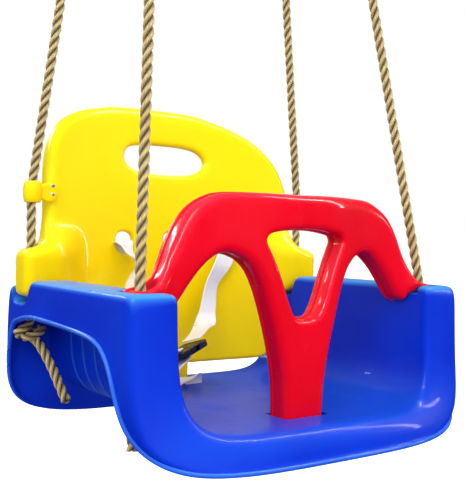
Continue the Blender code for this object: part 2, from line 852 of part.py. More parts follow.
def ropes():
    for side in (-1, 1):
        for front in (True, False):
            tag = ("front_" if front else "rear_") + ("left" if side < 0 else "right")
            line = rope_line(side, front)
            tube("rope_" + tag, resample(line, 0.030), ROPE / 2, ROPE_LOOK)
            eye("rope_eye_" + tag, line[-1], (line[-1] - line[-2]).normalized())
            if front:
                foot = line[0]
                centre = foot + Vector((0.0, 0.0, -0.0100 - GAP))
                tail = rounded_path([
                    centre, centre + Vector((side * 0.001, 0.010, -0.016)),
                    Vector((side * 0.187, 0.010, 0.040)), Vector((side * 0.187, 0.009, -0.016)),
                ], 0.02)
                stopper("rope_knot_" + tag, centre, (0.0120, 0.0120, 0.0100), tail)
            else:
                foot = line[0]
                centre = foot + Vector((side * 0.001, -0.002, -0.0125 - GAP))
                tail = rounded_path([
                    centre + Vector((0.0, -0.004, -0.004)),
                    Vector((side * 0.1945, 0.2180, 0.0620)),
                    Vector((side * 0.1890, 0.2000, 0.0420)),
                    Vector((side * 0.1850, 0.1640, 0.0030)),
                ], 0.015)
                stopper("rope_knot_" + tag, centre, (0.0115, 0.0165, 0.0125), tail)


# Harness -----------------------------------------------------------------------------------

BUCKLE_RIGHT = Vector((-0.0120, 0.1700, 0.0600))
BUCKLE_LEFT = Vector((-0.0800, 0.1250, 0.0490))


def buckle():
    """Side-release buckle: the body takes the right strap, the tongue takes the left."""
    along = (BUCKLE_LEFT - BUCKLE_RIGHT).normalized()
    across = Vector((0.0, 0.0, 1.0)).cross(along).normalized()
    up = along.cross(across).normalized()
    frame = Matrix((-across, along, up)).transposed().to_4x4()
    frame.translation = BUCKLE_RIGHT
    body = box("buckle_body", (-0.0165, 0.0, -0.0055), (0.0165, 0.0440, 0.0055), PARTS, BLACK,
               rounding=0.0020, segments=2)
    mouth = box("buckle_mouth", (-0.0130, 0.0120, -0.0035), (0.0130, 0.0600, 0.0035), CUTTERS)
    tongue = box("buckle_tongue", (-0.0160, 0.0445, -0.0050), (0.0160, 0.0660, 0.0050), PARTS, BLACK,
                 rounding=0.0020, segments=2)
    prong = box("buckle_prong", (-0.0125, 0.0135, -0.0030), (0.0125, 0.0560, 0.0030), CUTTERS)
    for obj in (mouth, prong):
        obj.matrix_world = frame
    body_slot = box("buckle_body_slot", (-0.0135, 0.0040, -0.0120), (0.0135, 0.0080, 0.0120), CUTTERS)
    tongue_slot = box("buckle_tongue_slot", (-0.0135, 0.0585, -0.0120), (0.0135, 0.0620, 0.0120),
                      CUTTERS)
    body_slot.matrix_world = frame
    tongue_slot.matrix_world = frame
    body.matrix_world = frame
    tongue.matrix_world = frame
    boolean(body, mouth)
    boolean(body, body_slot)
    boolean(tongue, prong, "UNION")
    boolean(tongue, tongue_slot)
    return frame, along, across


def harness():
    frame, along, across = buckle()
    back = back_y(0.070, 0.170)
    # Right strap: from behind the panel, through its slot and down to the bar of the body.
    start = frame @ Vector((0.0, 0.0095, 0.0077))
    bar = frame @ Vector((0.0, 0.0000, 0.0077))
    wide = Vector((1.0, 0.0, 0.0))
    path = rounded_path([
        Vector((0.070, back + 0.0300, 0.1560)), Vector((0.070, back + 0.0100, 0.1640)),
        Vector((0.070, back - 0.0060, 0.1600)), Vector((0.0600, 0.2300, 0.1250)),
        Vector((0.0180, 0.1950, 0.0800)), bar + Vector((0.0060, 0.0040, 0.0020)), start,
    ], 0.012)
    turned = [wide.lerp(across, min(1.0, i / (len(path) - 1) * 1.2)) for i in range(len(path))]
    ribbon("shoulder_strap_right", path, turned, WEB, WEB_THICK, WHITE)
    # Left strap: the same on the other side, down to the tongue.
    start = frame @ Vector((0.0, 0.0570, 0.0072))
    bar = frame @ Vector((0.0, 0.0680, 0.0072))
    path = rounded_path([
        Vector((-0.070, back + 0.0300, 0.1560)), Vector((-0.070, back + 0.0100, 0.1640)),
        Vector((-0.070, back - 0.0080, 0.1600)), Vector((-0.0850, 0.2150, 0.1380)),
        Vector((-0.1080, 0.1700, 0.0950)), Vector((-0.1120, 0.1250, 0.0660)),
        bar + Vector((-0.0060, -0.0040, 0.0020)), start,
    ], 0.012)
    turned = [wide.lerp(across, min(1.0, i / (len(path) - 1) * 1.2)) for i in range(len(path))]
    ribbon("shoulder_strap_left", path, turned, WEB, WEB_THICK, WHITE)
    # Crotch strap: up through the floor slot, slack over the floor and back under the body.
    under = frame @ Vector((0.0, 0.0300, -0.0078))
    before = frame @ Vector((0.0, 0.0420, -0.0120))
    path = rounded_path([
        Vector((0.0, 0.2005, -0.0280)), Vector((0.0, 0.2005, 0.0120)),
        Vector((-0.0180, 0.1760, 0.0130)), Vector((-0.0500, 0.1400, 0.0110)),
        Vector((-0.0600, 0.1290, 0.0260)), before, under,
    ], 0.010)
    turned = [wide.lerp(across, min(1.0, 2.0 * i / (len(path) - 1))) for i in range(len(path))]
    ribbon("crotch_strap", path, turned, WEB, WEB_THICK, WHITE)


def hang_all():
    """Carry everything so that the origin is where the swing hangs."""
    hold = bpy.data.objects.new("hanging_point", None)
    PARTS.objects.link(hold)
    hold.location = -HANG
    for obj in list(PARTS.objects) + list(CUTTERS.objects):
        if obj is not hold and obj.parent is None:
            obj.parent = hold


clear_scene()
PARTS = collection("toddler_bucket_swing")
CUTTERS = collection("cutters", helper=True)
BLUE = material("blue_plastic", (0.010, 0.035, 0.720), 0.22)
YELLOW = material("yellow_plastic", (1.000, 0.760, 0.000), 0.25)
RED = material("red_plastic", (0.800, 0.004, 0.020), 0.20)
ROPE_LOOK = material("tan_rope", (0.420, 0.270, 0.110), 0.80)
WHITE = material("white_webbing", (0.860, 0.860, 0.840), 0.85)
BLACK = material("black_plastic", (0.012, 0.012, 0.013), 0.35)
CHROME = material("chrome_screw", (0.700, 0.700, 0.710), 0.18, 1.0)
seat_shell()
backrest()
guard_bar()
for hand, hand_name in ((-1, "left"), (1, "right")):
    rope_guide(hand, hand_name)
    screw("guide_screw_" + hand_name + "_lower", hand, SCREW_Z[0])
    screw("guide_screw_" + hand_name + "_upper", hand, SCREW_Z[1])
ropes()
harness()
hang_all()
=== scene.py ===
"""Looks of the toddler bucket swing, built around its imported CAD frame.

Pieces are drawn in the seat's own frame, as part.py draws them: X runs across, -Y is the front,
+Z is up and the origin is between the two front rope holes at floor height. place() carries each
one into the row frame, whose origin is the point midway between the four rope eyes.
"""

import math

import bmesh
import bpy
import numpy as np
from mathutils import Matrix, Vector
from mathutils.bvhtree import BVHTree
from mathutils.geometry import delaunay_2d_cdt


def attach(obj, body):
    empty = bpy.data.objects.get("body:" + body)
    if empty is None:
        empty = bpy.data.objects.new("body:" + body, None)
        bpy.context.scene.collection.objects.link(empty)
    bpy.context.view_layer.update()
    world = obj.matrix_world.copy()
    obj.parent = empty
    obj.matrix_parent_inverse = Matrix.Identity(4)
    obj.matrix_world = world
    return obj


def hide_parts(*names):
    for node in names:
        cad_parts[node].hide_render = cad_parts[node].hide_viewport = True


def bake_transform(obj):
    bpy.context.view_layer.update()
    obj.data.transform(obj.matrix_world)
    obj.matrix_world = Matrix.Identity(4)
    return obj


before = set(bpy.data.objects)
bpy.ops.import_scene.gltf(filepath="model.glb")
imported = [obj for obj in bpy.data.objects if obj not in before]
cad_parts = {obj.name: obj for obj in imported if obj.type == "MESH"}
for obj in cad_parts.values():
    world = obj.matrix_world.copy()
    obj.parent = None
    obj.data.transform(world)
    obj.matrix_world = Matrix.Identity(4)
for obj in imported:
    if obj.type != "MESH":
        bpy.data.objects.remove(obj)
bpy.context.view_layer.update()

HANG = Vector((0.0, 0.150, 0.640))
MM = 0.001

# Sizes that the CAD part drives.
WALL = 0.0033
ARM_TOP = 0.131
SHELF_TOP = 0.105
POST_TOP = 0.124
ARM_IN = 0.1625
ARM_OUT = 0.2130
SIDE_X = 0.2137
ROPE = 0.011
FRONT_X = 0.1855
FRONT_Y = 0.0020
FRONT_LEAN = Vector((-0.102, 0.153, 1.0))
REAR_X = 0.1950
REAR_Y = 0.2440
REAR_LEAN = Vector((-0.130, -0.045, 1.0))
REAR_BEND_Z = 0.2450
EYE_Z = 0.600
KNOT_FRONT_TOP = 0.1060
KNOT_REAR_TOP = 0.0860
CLIP_Z = 0.2307
CLIP_TALL = 0.0245
SCREW_X = 0.1725
SCREW_Z = {"lower": 0.2287, "upper": 0.2385}
WEB = 0.025
SIDES = (("left", -1), ("right", 1))


# Camera -------------------------------------------------------------------------------------

CAMERA_SPOT = Vector((-0.546, -0.660, 0.183))
CAMERA_TURN = 35.0
CAMERA_DOWN = 0.81
CAMERA_ROLL = 1.03
CAMERA_LENS = 59.4


def camera():
    """The photographer's place: in front of the seat's left side, a little above the arms."""
    turn = math.radians(CAMERA_TURN)
    down = math.radians(CAMERA_DOWN)
    roll = math.radians(CAMERA_ROLL)
    ahead = Vector((math.sin(turn) * math.cos(down), math.cos(turn) * math.cos(down), -math.sin(down)))
    right = Vector((math.cos(turn), -math.sin(turn), 0.0))
    up = right.cross(ahead)
    tilted = right * math.cos(roll) + up * math.sin(roll)
    upright = up * math.cos(roll) - right * math.sin(roll)
    place_of = Matrix((tilted, upright, -ahead)).transposed().to_4x4()
    place_of.translation = CAMERA_SPOT - HANG
    data = bpy.data.cameras.new("camera")
    data.lens = CAMERA_LENS
    data.sensor_width = 36.0
    data.clip_start = 0.01
    obj = bpy.data.objects.new("camera", data)
    bpy.context.scene.collection.objects.link(obj)
    obj.matrix_world = place_of
    bpy.context.scene.camera = obj


# Node helpers -------------------------------------------------------------------------------


class Look:
    """A Principled material with short calls for adding and linking nodes."""

    def __init__(self, name, **values):
        self.made = bpy.data.materials.new(name)
        self.made.use_nodes = True
        self.tree = self.made.node_tree
        self.shader = self.tree.nodes["Principled BSDF"]
        for key, value in values.items():
            self.shader.inputs[key.replace("_", " ")].default_value = value

    def add(self, kind, links=None, **settings):
        node = self.tree.nodes.new(kind)
        for key, value in settings.items():
            if hasattr(node, key):
                setattr(node, key, value)
            else:
                node.inputs[key.replace("_", " ")].default_value = value
        for key, source in (links or {}).items():
            self.tree.links.new(source, node.inputs[key])
        return node

    def math(self, operation, a, b=0.0):
        node = self.tree.nodes.new("ShaderNodeMath")
        node.operation = operation
        for slot, value in enumerate((a, b)):
            if isinstance(value, (int, float)):
                node.inputs[slot].default_value = value
            else:
                self.tree.links.new(value, node.inputs[slot])
        return node.outputs[0]

    def ramp(self, source, low, high, out_low=0.0, out_high=1.0):
        node = self.add(
            "ShaderNodeMapRange", {"Value": source}, From_Min=low, From_Max=high,
            To_Min=out_low, To_Max=out_high,
        )
        return node.outputs["Result"]

    def mix(self, factor, a, b):
        node = self.tree.nodes.new("ShaderNodeMix")
        node.data_type = "RGBA"
        for slot, value in ((0, factor), (6, a), (7, b)):
            if isinstance(value, (int, float)):
                node.inputs[slot].default_value = value
            elif isinstance(value, tuple):
                node.inputs[slot].default_value = (*value, 1.0)
            else:
                self.tree.links.new(value, node.inputs[slot])
        return node.outputs[2]

    def noise(self, vector, scale, detail=2.0, rough=0.5):
        node = self.add(
            "ShaderNodeTexNoise", {"Vector": vector}, Scale=scale, Detail=detail, Roughness=rough,
        )
        return node.outputs["Fac"]

    def stretched(self, vector, scale):
        node = self.add("ShaderNodeMapping", {"Vector": vector})
        node.inputs["Scale"].default_value = scale
        return node.outputs["Vector"]

    def bump(self, height, distance, strength=1.0, under=None):
        links = {"Height": height}
        if under is not None:
            links["Normal"] = under
        node = self.add("ShaderNodeBump", links, Distance=distance, Strength=strength)
        return node.outputs["Normal"]

    def link(self, **sources):
        for key, source in sources.items():
            self.tree.links.new(source, self.shader.inputs[key.replace("_", " ")])

    def object_space(self):
        return self.add("ShaderNodeTexCoord").outputs["Object"]

    def uv(self):
        return self.add("ShaderNodeUVMap", uv_map="UVMap").outputs["UV"]


def plastic(name, colour, deep, roughness, coat, pale, facing, reach, rise=(-0.58, -0.50)):
    """Glossy moulded plastic with uneven pigment, a faint orange peel, rubbed patches and scratches,
    and painted light: pale is a painted-light tone, laid on the faces that turn this way (toward
    the lamps), by a share that goes from reach[0] low down to reach[1] high up."""
    look = Look(name, Coat_Weight=coat, Coat_Roughness=0.03, IOR=1.40, Specular_IOR_Level=0.10)
    spot = look.object_space()
    speckle = look.math("MULTIPLY", look.noise(spot, 900.0, 2.0), 0.10)
    share = look.math("ADD", speckle, look.ramp(look.noise(spot, 11.0, 4.0, 0.55), 0.35, 0.70))
    tone = look.mix(share, deep, colour)
    normal = look.add("ShaderNodeNewGeometry").outputs["Normal"]
    faced = look.add("ShaderNodeVectorMath", {0: normal}, operation="DOT_PRODUCT")
    faced.inputs[1].default_value = facing
    height = look.add("ShaderNodeSeparateXYZ", {0: spot}).outputs[2]
    # Painted light: faces turned toward the lamps, and higher up, take more of the lighter pale tone.
    painted_light_share = look.ramp(height, rise[0], rise[1], reach[0], reach[1])
    painted_light_share = look.math("MULTIPLY", painted_light_share, look.ramp(faced.outputs["Value"], 0.35, 0.98))
    tone = look.mix(painted_light_share, tone, pale)
    wear = look.ramp(look.noise(look.stretched(spot, (18.0, 18.0, 7.0)), 1.6, 5.0, 0.6), 0.48, 0.72)
    scratch = look.ramp(look.noise(look.stretched(spot, (1500.0, 60.0, 90.0)), 1.0, 1.0), 0.66, 0.72)
    rubbed = look.math("MULTIPLY", look.math("ADD", wear, scratch), 0.10)
    gloss = look.math("ADD", rubbed, roughness)
    grain = look.bump(look.noise(spot, 240.0, 2.0), 0.00010, 0.30)
    look.link(Base_Color=tone, Roughness=gloss, Normal=grain)
    return look.made


def rope_look():
    """Laid rope: straw yarns that lean across each strand, painted shade in the grooves between strands and
    loose fibre.
    """
    look = Look("rope_fibre", Roughness=0.82, IOR=1.45, Specular_IOR_Level=0.25, Sheen_Weight=0.25)
    uv = look.uv()
    yarn = look.add("ShaderNodeVectorMath", {0: uv}, operation="DOT_PRODUCT")
    yarn.inputs[1].default_value = (6.0, 260.0, 0.0)
    wave = look.math("SINE", look.math("MULTIPLY", yarn.outputs["Value"], math.tau))
    wave = look.ramp(wave, -1.0, 1.0)
    fibre = look.noise(look.stretched(uv, (30.0, 420.0, 1.0)), 3.0, 5.0, 0.7)
    patch = look.noise(look.object_space(), 28.0, 3.0)
    groove = look.add("ShaderNodeAttribute", attribute_name="groove").outputs["Fac"]
    tone = look.mix(look.ramp(patch, 0.3, 0.7), (0.62, 0.415, 0.110), (0.84, 0.650, 0.235))
    tone = look.mix(look.ramp(fibre, 0.40, 0.75), tone, (0.93, 0.80, 0.50))
    tone = look.mix(look.math("MULTIPLY", wave, 0.30), tone, (0.34, 0.210, 0.065))
    # Painted shade: strands go near black where they turn into the grooves between them.
    tone = look.mix(groove, tone, (0.060, 0.030, 0.004))
    normal = look.bump(wave, 0.00045, 0.6)
    normal = look.bump(fibre, 0.0006, 0.7, normal)
    look.link(Base_Color=tone, Normal=normal)
    return look.made


def webbing_look():
    """White polypropylene webbing: ribs along the strap crossed by fine picks, with satin shine."""
    look = Look("webbing_weave", Roughness=0.55, Sheen_Weight=0.4, IOR=1.46)
    uv = look.uv()
    parts = look.add("ShaderNodeSeparateXYZ", {0: uv})
    across = look.math("SINE", look.math("MULTIPLY", parts.outputs[0], math.tau / 0.00165))
    slant = look.math("ADD", parts.outputs[1], look.math("MULTIPLY", across, 0.0003))
    along = look.math("SINE", look.math("MULTIPLY", slant, math.tau / 0.0014))
    weave = look.ramp(look.math("MULTIPLY", across, along), -1.0, 1.0)
    rib = look.ramp(across, -1.0, 1.0)
    soil = look.noise(look.object_space(), 45.0, 4.0)
    tone = look.mix(look.math("MULTIPLY", weave, 0.35), (0.90, 0.90, 0.885), (0.66, 0.67, 0.68))
    tone = look.mix(look.ramp(soil, 0.45, 0.85, 0.0, 0.35), tone, (0.74, 0.72, 0.67))
    thread = look.add("ShaderNodeAttribute", attribute_name="thread").outputs["Fac"]
    tone = look.mix(thread, tone, (0.42, 0.42, 0.43))
    normal = look.bump(weave, 0.00022, 0.8)
    normal = look.bump(rib, 0.00012, 0.5, normal)
    look.link(Base_Color=tone, Normal=normal)
    return look.made


def buckle_look():
    """Black acetal: fine spark-eroded grain, a little paler where hands rub it."""
    look = Look("buckle_black", IOR=1.48, Coat_Weight=0.1)
    spot = look.object_space()
    grain = look.noise(spot, 1400.0, 2.0)
    rubbed = look.ramp(look.noise(spot, 60.0, 3.0), 0.45, 0.70)
    tone = look.mix(rubbed, (0.008, 0.008, 0.009), (0.022, 0.022, 0.024))
    gloss = look.ramp(rubbed, 0.0, 1.0, 0.42, 0.28)
    look.link(Base_Color=tone, Roughness=gloss, Normal=look.bump(grain, 0.00012, 0.5))
    return look.made


def screw_look():
    """Plated steel with the turning marks of its head."""
    look = Look("screw_plating", Metallic=0.75, IOR=1.5)
    spot = look.object_space()
    marks = look.noise(look.stretched(spot, (400.0, 400.0, 6000.0)), 1.0, 3.0)
    tone = look.mix(look.noise(spot, 700.0, 3.0), (0.52, 0.52, 0.54), (0.83, 0.83, 0.85))
    look.link(Base_Color=tone, Roughness=look.ramp(marks, 0.3, 0.7, 0.12, 0.32))
    look.link(Normal=look.bump(marks, 0.00005, 0.4))
    return look.made


# The pale tones are painted light: each plastic is lighter where it faces the lamps.
BLUE = plastic(
    "blue_moulded", (0.0012, 0.036, 0.64), (0.0005, 0.024, 0.55), 0.30, 0.10,
    pale=(0.060, 0.400, 0.900), facing=(-0.15, -0.25, 0.95), reach=(0.09, 0.70), rise=(-0.56, -0.515),
)
# Painted highlight: a lighter copy of the blue moulding for the rolled rim bead and the under ribs.
BLUE_PAINTED_HIGHLIGHT = plastic(
    "blue_painted_highlight", (0.020, 0.125, 0.78), (0.010, 0.080, 0.68), 0.24, 0.20,
    pale=(0.130, 0.440, 0.900), facing=(-0.50, -0.30, 0.80), reach=(0.20, 0.60),
)
YELLOW = plastic(
    "yellow_moulded", (1.00, 0.72, 0.000), (1.00, 0.68, 0.000), 0.28, 0.30,
    pale=(1.00, 0.95, 0.008), facing=(-0.50, -0.45, 0.74), reach=(0.40, 1.00), rise=(-0.56, -0.38),
)
RED = plastic(
    "red_moulded", (0.82, 0.0008, 0.016), (0.72, 0.0003, 0.012), 0.24, 0.34,
    pale=(1.00, 0.030, 0.065), facing=(-0.50, -0.20, 0.85), reach=(0.25, 0.60),
)
FIBRE = rope_look()
WEBBING = webbing_look()
BLACK = buckle_look()
PLATING = screw_look()


# Mesh helpers -------------------------------------------------------------------------------


def piece(name, verts, faces, look, degrees=40.0):
    """A mesh object in the seat's frame, smooth shaded with creases kept."""
    data = bpy.data.meshes.new(name)
    data.from_pydata([tuple(v) for v in verts], [], [tuple(f) for f in faces])
    data.validate()
    obj = bpy.data.objects.new(name, data)
    bpy.context.scene.collection.objects.link(obj)
    data.materials.append(look)
    work = bmesh.new()
    work.from_mesh(data)
    bmesh.ops.recalc_face_normals(work, faces=work.faces)
    work.to_mesh(data)
    work.free()
    shade(obj, degrees)
    return obj


def shade(obj, degrees=40.0):
    for face in obj.data.polygons:
        face.use_smooth = True
    obj.data.set_sharp_from_angle(angle=math.radians(degrees))


def bake(obj):
    """Put the object's evaluated mesh in place of its modifiers."""
    graph = bpy.context.evaluated_depsgraph_get()
    data = bpy.data.meshes.new_from_object(obj.evaluated_get(graph))
    obj.modifiers.clear()
    old = obj.data
    obj.data = data
    bpy.data.meshes.remove(old)


def cut(obj, cutters, operation="DIFFERENCE"):
    for cutter in cutters:
        step = obj.modifiers.new(cutter.name, "BOOLEAN")
        step.object = cutter
        step.operation = operation
        step.solver = "EXACT"
    bake(obj)
    for cutter in cutters:
        bpy.data.objects.remove(cutter, do_unlink=True)


def box(name, low, high, look, rounding=0.0, segments=3):
    work = bmesh.new()
    bmesh.ops.create_cube(work, size=1.0)
    low = Vector(low)
    high = Vector(high)
    bmesh.ops.scale(work, vec=high - low, verts=work.verts)
    bmesh.ops.translate(work, vec=(low + high) / 2, verts=work.verts)
    if rounding:
        bmesh.ops.bevel(
            work, geom=work.edges[:], offset=rounding, segments=segments, profile=0.5, affect="EDGES",
        )
    return from_bmesh(name, work, look)


def from_bmesh(name, work, look):
    data = bpy.data.meshes.new(name)
    work.to_mesh(data)
    work.free()
    obj = bpy.data.objects.new(name, data)
    bpy.context.scene.collection.objects.link(obj)
    data.materials.append(look)
    return obj


def rod(name, start, end, radius, look, sides=32):
    work = bmesh.new()
    start = Vector(start)
    end = Vector(end)
    turn = (end - start).to_track_quat("Z", "Y").to_matrix().to_4x4()
    bmesh.ops.create_cone(
        work, cap_ends=True, segments=sides, radius1=radius, radius2=radius,
        depth=(end - start).length, matrix=Matrix.Translation((start + end) / 2) @ turn,
    )
    return from_bmesh(name, work, look)


def join(name, objects):
    """One object from several, which keep their own materials and UVs."""
    for other in bpy.context.selected_objects:
        other.select_set(False)
    for obj in objects:
        obj.select_set(True)
    bpy.context.view_layer.objects.active = objects[0]
    if len(objects) > 1:
        bpy.ops.object.join()
    objects[0].name = name
    objects[0].data.name = name
    return objects[0]


def place(obj, body, nodes=()):
    """Carry a piece into the row frame, let it ride on a body and stand for its CAD nodes."""
    obj.data.transform(Matrix.Translation(-HANG) @ obj.matrix_world)
    obj.matrix_world = Matrix.Identity(4)
    if body:
        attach(obj, body)
    if nodes:
        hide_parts(*nodes)
    return obj


def smoothstep(t):
    t = min(1.0, max(0.0, t))
    return t * t * (3 - 2 * t)


def spline(points, spacing, closed=False):
    """A smooth curve through the points, resampled to even steps."""
    points = [Vector(p) for p in points]
    count = len(points)
    dense = []
    spans = count if closed else count - 1
    for i in range(spans):
        if closed:
            p0, p1, p2, p3 = (points[(i + k) % count] for k in (-1, 0, 1, 2))
        else:
            p0, p1, p2, p3 = (points[min(max(i + k, 0), count - 1)] for k in (-1, 0, 1, 2))
        for step in range(16):
            t = step / 16
            dense.append(0.5 * (
                2 * p1 + (p2 - p0) * t + (2 * p0 - 5 * p1 + 4 * p2 - p3) * t ** 2
                + (3 * p1 - p0 - 3 * p2 + p3) * t ** 3
            ))
    dense.append(points[0].copy() if closed else points[-1].copy())
    table = np.array([tuple(p) for p in dense])
    run = np.concatenate([[0.0], np.cumsum(np.linalg.norm(np.diff(table, axis=0), axis=1))])
    steps = max(2, round(run[-1] / spacing))
    wanted = np.linspace(0.0, run[-1], steps + 1)
    if closed:
        wanted = wanted[:-1]
    columns = [np.interp(wanted, run, table[:, k]) for k in range(table.shape[1])]
    return [Vector(p) for p in zip(*columns)]


def frames(path, first_side=None):
    """(along, side, other) at each point of a path, turning as little as it can."""
    side = None
    found = []
    for i in range(len(path)):
        ahead = path[min(i + 1, len(path) - 1)]
        behind = path[max(i - 1, 0)]
        along = (ahead - behind).normalized()
        if side is None:
            side = Vector(first_side) if first_side else along.orthogonal()
        side = (side - along * side.dot(along)).normalized()
        found.append((along, side, along.cross(side)))
    return found


# Ropes --------------------------------------------------------------------------------------

STRANDS = 3
STRAND_SIDES = 12
LAY = 0.0375
STRAND_RADIUS = 0.00280
HELIX_RADIUS = 0.00292
RING_STEP = 0.0016


def twisted(name, path, size=1.0, taper_end=False, turn=0.0):
    """Three laid strands along a path. Each strand is a tube of its own with closed ends."""
    route = spline(path, RING_STEP)
    axes = frames(route)
    verts = []
    faces = []
    marks = []
    uvs = []
    for strand in range(STRANDS):
        base = len(verts)
        run = 0.0
        for i, (spot, (along, side, other)) in enumerate(zip(route, axes)):
            if i:
                run += (spot - route[i - 1]).length
            angle = turn + math.tau * (strand / STRANDS + run / LAY)
            out = side * math.cos(angle) + other * math.sin(angle)
            cross = along.cross(out)
            fray = 1.0
            if taper_end and i > len(route) - 4:
                fray = 1.0 + 0.06 * (i - len(route) + 4)
            centre = spot + out * HELIX_RADIUS * size * fray
            for k in range(STRAND_SIDES):
                around = math.tau * k / STRAND_SIDES
                radius = STRAND_RADIUS * size
                ring = out * math.cos(around) * 0.96 + cross * math.sin(around) * 1.04
                verts.append(centre + ring * radius)
                # Painted shade for the groove attribute: 0 on a strand's outward crest, rising to 1 where
                # it turns into the grooves.
                marks.append(min(1.0, 1.15 * (0.5 - 0.5 * math.cos(around)) ** 0.62))
                uvs.append((k / STRAND_SIDES, run))
        rings = len(route)
        for i in range(rings - 1):
            for k in range(STRAND_SIDES):
                a = base + i * STRAND_SIDES + k
                b = base + i * STRAND_SIDES + (k + 1) % STRAND_SIDES
                faces.append((a, b, b + STRAND_SIDES, a + STRAND_SIDES))
        faces.append(tuple(base + k for k in range(STRAND_SIDES))[::-1])
        last = base + (rings - 1) * STRAND_SIDES
        faces.append(tuple(last + k for k in range(STRAND_SIDES)))
    obj = piece(name, verts, faces, FIBRE, 60.0)
    layer = obj.data.uv_layers.new(name="UVMap")
    for face in obj.data.polygons:
        seam = any(uvs[v][0] > 0.6 for v in face.vertices)
        for loop in face.loop_indices:
            u, v = uvs[obj.data.loops[loop].vertex_index]
            layer.data[loop].uv = (u + 1.0 if seam and u < 0.01 else u, v)
    # The groove attribute carries the painted shade between the strands.
    groove = obj.data.attributes.new("groove", "FLOAT", "POINT")
    groove.data.foreach_set("value", marks)
    return obj, route


def lean_point(base, lean, side, rise):
    return Vector((side * (base.x + lean.x * rise), base.y + lean.y * rise, base.z + lean.z * rise))


def rope_line(side, front):
    """The taut rope from its stopper knot to its eye knot."""
    if front:
        base = Vector((FRONT_X, FRONT_Y, ARM_TOP))
        return [lean_point(base, FRONT_LEAN, side, KNOT_FRONT_TOP - ARM_TOP),
                lean_point(base, FRONT_LEAN, side, EYE_Z - ARM_TOP)]
    base = Vector((REAR_X, REAR_Y, REAR_BEND_Z))
    rises = (-0.010, 0.010, EYE_Z - REAR_BEND_Z)
    foot = Vector((side * REAR_X, REAR_Y, KNOT_REAR_TOP))
    return [foot] + [lean_point(base, REAR_LEAN, side, rise) for rise in rises]


def straight_steps(points, step=0.02):
    """The points of a taut line close enough together for the curve to stay straight."""
    path = [points[0]]
    for a, b in zip(points, points[1:]):
        count = max(1, round((b - a).length / step))
        path += [a.lerp(b, i / count) for i in range(1, count + 1)]
    return path


# A stopper knot in the seat's frame about its centre, in millimetres: right, up and away.
KNOT_ROUTE = (
    (0, 17, 2), (0, 11, 1), (-4, 6, -4), (-10, 3, -6), (-14, -1, -2), (-11, -4, 5), (-3, -2, 9),
    (6, 2, 9), (13, 4, 4), (12, 1, -4), (5, -3, -9), (-2, -4, -8), (-5, -5, -2), (0, -6, 2), (6, -8, 0),
)


def knot_point(centre, side, spot):
    """A point of the knot's route, mirrored for the other side of the seat."""
    right, up, away = (v * MM for v in spot)
    turn = math.radians(CAMERA_TURN)
    x = right * math.cos(turn) + away * math.sin(turn)
    y = -right * math.sin(turn) + away * math.cos(turn)
    return centre + Vector((-side * x, y, up))


def stopper(tag, side, front, line):
    """The knot under the arm, and the tail that hangs from it."""
    foot = line[0]
    if front:
        centre = foot + Vector((0.0, 0.001, -0.0120))
        tail_end = [Vector((side * 0.1870, 0.0110, 0.0560)), Vector((side * 0.1870, 0.0105, 0.0240)),
                    Vector((side * 0.1870, 0.0090, -0.0160))]
    else:
        centre = foot + Vector((side * 0.002, -0.003, -0.0165))
        tail_end = [Vector((side * 0.1925, 0.2200, 0.0560)), Vector((side * 0.1880, 0.1980, 0.0350)),
                    Vector((side * 0.1850, 0.1640, 0.0030))]
    route = [knot_point(centre, side, spot) for spot in KNOT_ROUTE]
    knot, _ = twisted("stopper_knot_" + tag, route, 0.90)
    place(knot, "seat", ["rope_knot_" + tag])
    start = route[-1]
    tail, tail_route = twisted("rope_tail_" + tag, [start] + tail_end, 0.98, taper_end=True)
    place(tail, "seat", ())
    return knot


def eye(tag, line):
    """The upper end: up into a loop, back down and twice round the standing part."""
    along = (line[-1] - line[-2]).normalized()
    side = Vector((0.0, 1.0, 0.0))
    side = (side - along * side.dot(along)).normalized()
    out = along.cross(side)
    foot = line[-1]
    middle = foot + along * 0.0450
    route = [foot - along * 0.001, foot + along * 0.010]
    for step in range(11):
        turn = math.radians(-145 + 290 * step / 10)
        route.append(middle + along * math.cos(turn) * 0.0200 + side * math.sin(turn) * 0.0165)
    for step in range(1, 17):
        turn = math.radians(35 + 45 * step)
        spot = foot + along * (0.0250 - 0.0011 * step)
        route.append(spot + (side * math.cos(turn) + out * math.sin(turn)) * 0.0098)
    obj, _ = twisted("eye_knot_" + tag, route, 0.92)
    return place(obj, "seat", ["rope_eye_" + tag])


def ropes():
    for hand, side in SIDES:
        for front in (True, False):
            tag = ("front_" if front else "rear_") + hand
            line = rope_line(side, front)
            obj, route = twisted("laid_rope_" + tag, straight_steps(line), turn=side * 0.7 + front)
            place(obj, "seat", ["rope_" + tag])
            extras = [stopper(tag, side, front, line), eye(tag, line)]


# Plates: flat shapes with an outline, holes and two curved faces ------------------------------


def distance_to(loop, spots):
    """Distance in the plane from each spot to a closed outline."""
    a = np.array(loop)
    b = np.roll(a, -1, axis=0)
    best = np.full(len(spots), 1e9)
    for p, q in zip(a, b):
        d = q - p
        t = np.clip(((spots - p) @ d) / max(d @ d, 1e-18), 0, 1)
        best = np.minimum(best, np.linalg.norm(spots - (p + t[:, None] * d), axis=1))
    return best


def inside(loop, spots):
    a = np.array(loop)
    b = np.roll(a, -1, axis=0)
    odd = np.zeros(len(spots), bool)
    for p, q in zip(a, b):
        crosses = (p[1] > spots[:, 1]) != (q[1] > spots[:, 1])
        if not crosses.any():
            continue
        at = p[0] + (spots[:, 1] - p[1]) / (q[1] - p[1] + 1e-15) * (q[0] - p[0])
        odd ^= crosses & (spots[:, 0] < at)
    return odd


